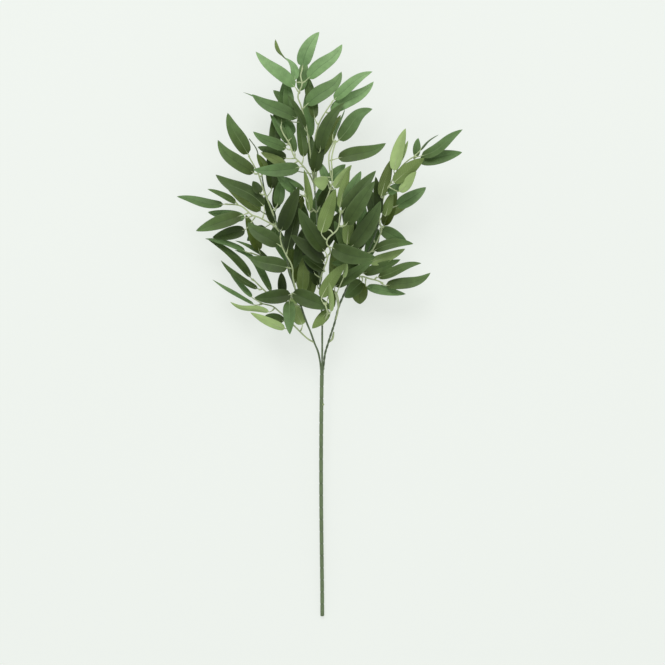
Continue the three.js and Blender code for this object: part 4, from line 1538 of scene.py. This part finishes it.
@dataclass
class Branch:
    """One branch stem. The right one has a small bud low down."""

    workshop: Workshop
    host: Host
    route_step: float = 3.0
    segment_length: float = 26.0
    neck_depth: float = 0.03
    sides: int = 14
    bud_route: tuple[Point, ...] = ((14, -24, 47), (19, -19, 47), (21.5, -8, 47))
    bud_step: float = 1.5
    bud_least: float = 0.9
    bud_swell: float = 0.75
    bud_end: float = 0.93

    def build(self) -> None:
        """Makes the branch stem and gives it its place in the frame."""
        plan = BRANCHES[self.host]
        side = self.host.value
        piece = line_object(f"branch_{side}_plastic", [smooth_route(plan.route, self.route_step)])
        run_tree(piece, self.workshop.stems, {
            "Radius": plan.radius * MM,
            "Segment Length": self.segment_length * MM,
            "Neck Depth": self.neck_depth,
            "Strand Depth": plan.strand_depth,
            "Strand Turns": plan.strand_turns,
            "Tip Taper": plan.tip_taper,
            "Sides": self.sides,
            "Material": self.workshop.branch_plastic,
        })
        finish_piece(piece, f"branch_{side}")
        if self.host is Host.RIGHT:
            self.build_bud()

    def build_bud(self) -> None:
        """Makes the small bud low on the right branch."""
        route = smooth_route(self.bud_route, self.bud_step)
        turns = [math.pi * step / (len(route) - 1) * self.bud_end for step in range(len(route))]
        radii = [self.bud_least + self.bud_swell * math.sin(turn) for turn in turns]
        build_knob(self.workshop, "branch_bud", route, radii, "branch_right")


@dataclass
class Spray:
    """One spray: its moulded twig with sockets and petioles, and its fabric leaves."""

    workshop: Workshop
    name: str
    plan: SprayPlan
    first_seed: int

    def seated_route(self) -> list[Vector]:
        """The twig's route, from the nearest point of its branch.

        Returns:
            Points along the twig, in millimetres.
        """
        branch = smooth_route(BRANCHES[self.plan.host].route, TWIG.seat_search_step)
        start = Vector(self.plan.route[0])
        seat = min(branch, key=lambda point: (point - start).length)
        return smooth_route((tuple(seat), *self.plan.route[1:]), TWIG.route_step)

    def root_of(self, leaf: Leaf, twig: list[Vector]) -> Vector:
        """Where a leaf's petiole leaves the twig.

        Args:
            leaf: The leaf.
            twig: The points of the twig.

        Returns:
            A point of the twig, a step back from the one nearest to the blade.
        """
        base = Vector(leaf.base)
        nearest = min(range(len(twig)), key=lambda index: (twig[index] - base).length)
        walked = 0.0
        while nearest > 0 and walked < PETIOLE.step_back:
            walked += (twig[nearest] - twig[nearest - 1]).length
            nearest -= 1
        return twig[nearest]

    def petiole(self, leaf: Leaf, root: Vector) -> tuple[list[Vector], list[float]]:
        """A petiole that runs from the twig to under the blade, where it thins out.

        Args:
            leaf: The leaf.
            root: Where the petiole leaves the twig.

        Returns:
            The petiole's points and the radius at each, in millimetres.
        """
        midrib = Midrib(leaf)
        base = Vector(leaf.base)
        if leaf.on_floor:
            base.z += PETIOLE.floor_lift
        ahead = base + (base - midrib.point(PETIOLE.aim_share)) * PETIOLE.reach_share
        points = []
        radii = []
        for step in range(PETIOLE.steps + 1):
            t = step / PETIOLE.steps
            points.append(root * (1 - t) ** 2 + ahead * 2 * t * (1 - t) + base * t**2)
            radii.append(PETIOLE.radius * (PETIOLE.root_share - PETIOLE.root_loss * t))
        for step in range(1, PETIOLE.steps + 1):
            t = step / PETIOLE.steps
            face = midrib.face(PETIOLE.under_blade * t)
            sink = -PETIOLE.floor_lift if leaf.on_floor else PETIOLE.sink + PETIOLE.sink_gain * t
            points.append(midrib.point(PETIOLE.under_blade * t) - face * sink)
            radii.append(PETIOLE.radius * (PETIOLE.under_share - PETIOLE.under_loss * t))
        return points, radii

    def build_twig(self) -> None:
        """Makes the twig with its side strands, petioles, sockets and empty sockets."""
        twig = self.seated_route()
        last = len(twig) - 1
        lines = [twig]
        radii = [TWIG.radius * (1.0 - TWIG.taper_share * step / last) for step in range(last + 1)]
        for strand in self.plan.strands:
            beside = smooth_route(strand, TWIG.route_step)
            lines.append(beside)
            radii.extend([TWIG.radius * TWIG.strand_share] * len(beside))
        sockets = []
        axes = []
        for leaf in self.plan.leaves:
            root = self.root_of(leaf, twig)
            points, sizes = self.petiole(leaf, root)
            lines.append(points)
            radii.extend(sizes)
            axis = (points[2] - points[0]).normalized()
            sockets.append(root + axis * TWIG.socket_middle)
            axes.append(axis)
        for start, end in self.plan.stubs:
            sockets.append((Vector(start) + Vector(end)) / 2)
            axes.append((Vector(end) - Vector(start)).normalized())
        piece = line_object(f"{self.name}_twig", lines, sockets)
        on_lines = len(radii)
        put_attribute(piece, "tube_radius", [radius * MM for radius in radii] + [0.0] * len(sockets))
        put_attribute(piece, "is_socket", [0.0] * on_lines + [1.0] * len(sockets))
        put_attribute(piece, "socket_axis", [(0, 0, 1)] * on_lines + axes)
        run_tree(piece, self.workshop.tubes, {"Sides": TWIG.sides, "Material": self.workshop.twig_plastic})
        finish_piece(piece, f"spray_{self.name}")

    def build_leaves(self) -> None:
        """Makes the blades of all the spray's leaves, as one piece."""
        lines = []
        values: dict[str, list[Any]] = {}
        for number, leaf in enumerate(self.plan.leaves):
            midrib = Midrib(leaf, self.first_seed + number)
            lift = Vector((0, 0, LEAF.floor_lift if leaf.on_floor else 0.0))
            shares = [station / (LEAF.stations - 1) for station in range(LEAF.stations)]
            lines.append([midrib.point(along) + lift for along in shares])
            for along in shares:
                for name, value in midrib.marks(along).items():
                    values.setdefault(name, []).append(value)
        piece = line_object(f"{self.name}_leaves", lines)
        for name, listed in values.items():
            put_attribute(piece, name, listed)
        run_tree(piece, self.workshop.blades, {"Material": self.workshop.leaf_cloth})
        finish_piece(piece, f"spray_{self.name}")


@dataclass(frozen=True)
class Lamp:
    """A soft square light: where it hangs and what it looks at, its side in metres and its watts."""

    name: str
    place: Point
    aim: Point
    size: float
    power: float

    def build(self) -> None:
        """Hangs the light."""
        data = bpy.data.lights.new(self.name, "AREA")
        data.size = self.size
        data.energy = self.power
        light = put_in_scene(self.name, data)
        light.location = self.place
        light.rotation_euler = (Vector(self.aim) - Vector(self.place)).to_track_quat("-Z", "Y").to_euler()


@dataclass
class Studio:
    """A pale floor, soft light and the camera that looks straight down. Lengths are in metres."""

    picture_width: float = 0.9975
    centre: tuple[float, float] = (0.0195, -0.009)
    focus_height: float = 0.07
    distance: float = 5.0
    sensor: float = 36.0
    sight: float = 50.0
    floor_size: float = 12.0
    floor_drop: float = 0.0002
    floor_colour: Colour = (0.26, 0.268, 0.26)
    floor_clouds_per_metre: float = 2.0
    floor_spread: float = 0.04
    floor_roughness: float = 0.9
    floor_gloss: float = 0.1
    floor_glow: Colour = (0.96, 1.0, 0.95)
    floor_glow_strength: float = 0.63
    sky_colour: Colour = (0.96, 1.0, 0.97)
    sky_strength: float = 0.60
    lamps: tuple[Lamp, ...] = (
        Lamp("top_light", (-0.6, 3.4, 4.6), (0, 0.1, 0), 2.6, 150.0),
        Lamp("fill_light", (1.2, -1.4, 6.0), (0, 0, 0), 2.4, 30.0),
    )

    def build_camera(self) -> None:
        """Puts the camera above the bunch, with the crown at the top of the picture."""
        data = bpy.data.cameras.new("camera")
        data.sensor_width = self.sensor
        data.lens = self.sensor * self.distance / self.picture_width
        data.clip_end = self.sight
        camera = put_in_scene("camera", data)
        camera.location = (*self.centre, self.focus_height + self.distance)
        bpy.context.scene.camera = camera

    def build_floor(self) -> None:
        """Makes the pale floor."""
        half = self.floor_size / 2
        square = ((-half, -half), (half, -half), (half, half), (-half, half))
        corners = [(x, y, -self.floor_drop) for x, y in square]
        mesh = bpy.data.meshes.new("floor")
        mesh.from_pydata(corners, [], [(0, 1, 2, 3)])
        paper = Surface("floor_paper")
        place = paper.sketch.node("ShaderNodeTexCoord").outputs["Object"]
        clouds = paper.sketch.noise(place, self.floor_clouds_per_metre)
        soft = paper.sketch.math("MULTIPLY_ADD", clouds, self.floor_spread, 1.0 - self.floor_spread / 2)
        paper.feed({
            "Base Color": paper.sketch.scaled(self.floor_colour, soft),
            "Roughness": self.floor_roughness,
            "Specular IOR Level": self.floor_gloss,
            "Emission Color": (*self.floor_glow, 1.0),
            "Emission Strength": self.floor_glow_strength,
        })
        mesh.materials.append(paper.material)
        floor = put_in_scene("floor", mesh)

    def build_light(self) -> None:
        """Hangs the lights and makes the even surroundings."""
        for lamp in self.lamps:
            lamp.build()
        sky = bpy.data.worlds.new("surroundings")
        sky.use_nodes = True
        background = sky.node_tree.nodes["Background"]
        background.inputs["Color"].default_value = (*self.sky_colour, 1.0)
        background.inputs["Strength"].default_value = self.sky_strength
        bpy.context.scene.world = sky
        bpy.context.scene.view_settings.view_transform = "Standard"

    def build(self) -> None:
        """Sets up the camera, the floor and the light."""
        self.build_camera()
        self.build_floor()
        self.build_light()


def main() -> None:
    """Builds the whole scene."""
    logging.basicConfig(level=logging.INFO, format="%(name)s %(message)s")
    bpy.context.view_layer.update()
    Studio().build()
    workshop = Workshop()
    MainStem(workshop).build()
    for host in Host:
        Branch(workshop, host).build()
    seed = 1
    for name, plan in SPRAYS.items():
        spray = Spray(workshop, name, plan, seed)
        spray.build_twig()
        spray.build_leaves()
        seed += len(plan.leaves)
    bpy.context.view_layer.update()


if __name__ == "__main__":
    main()
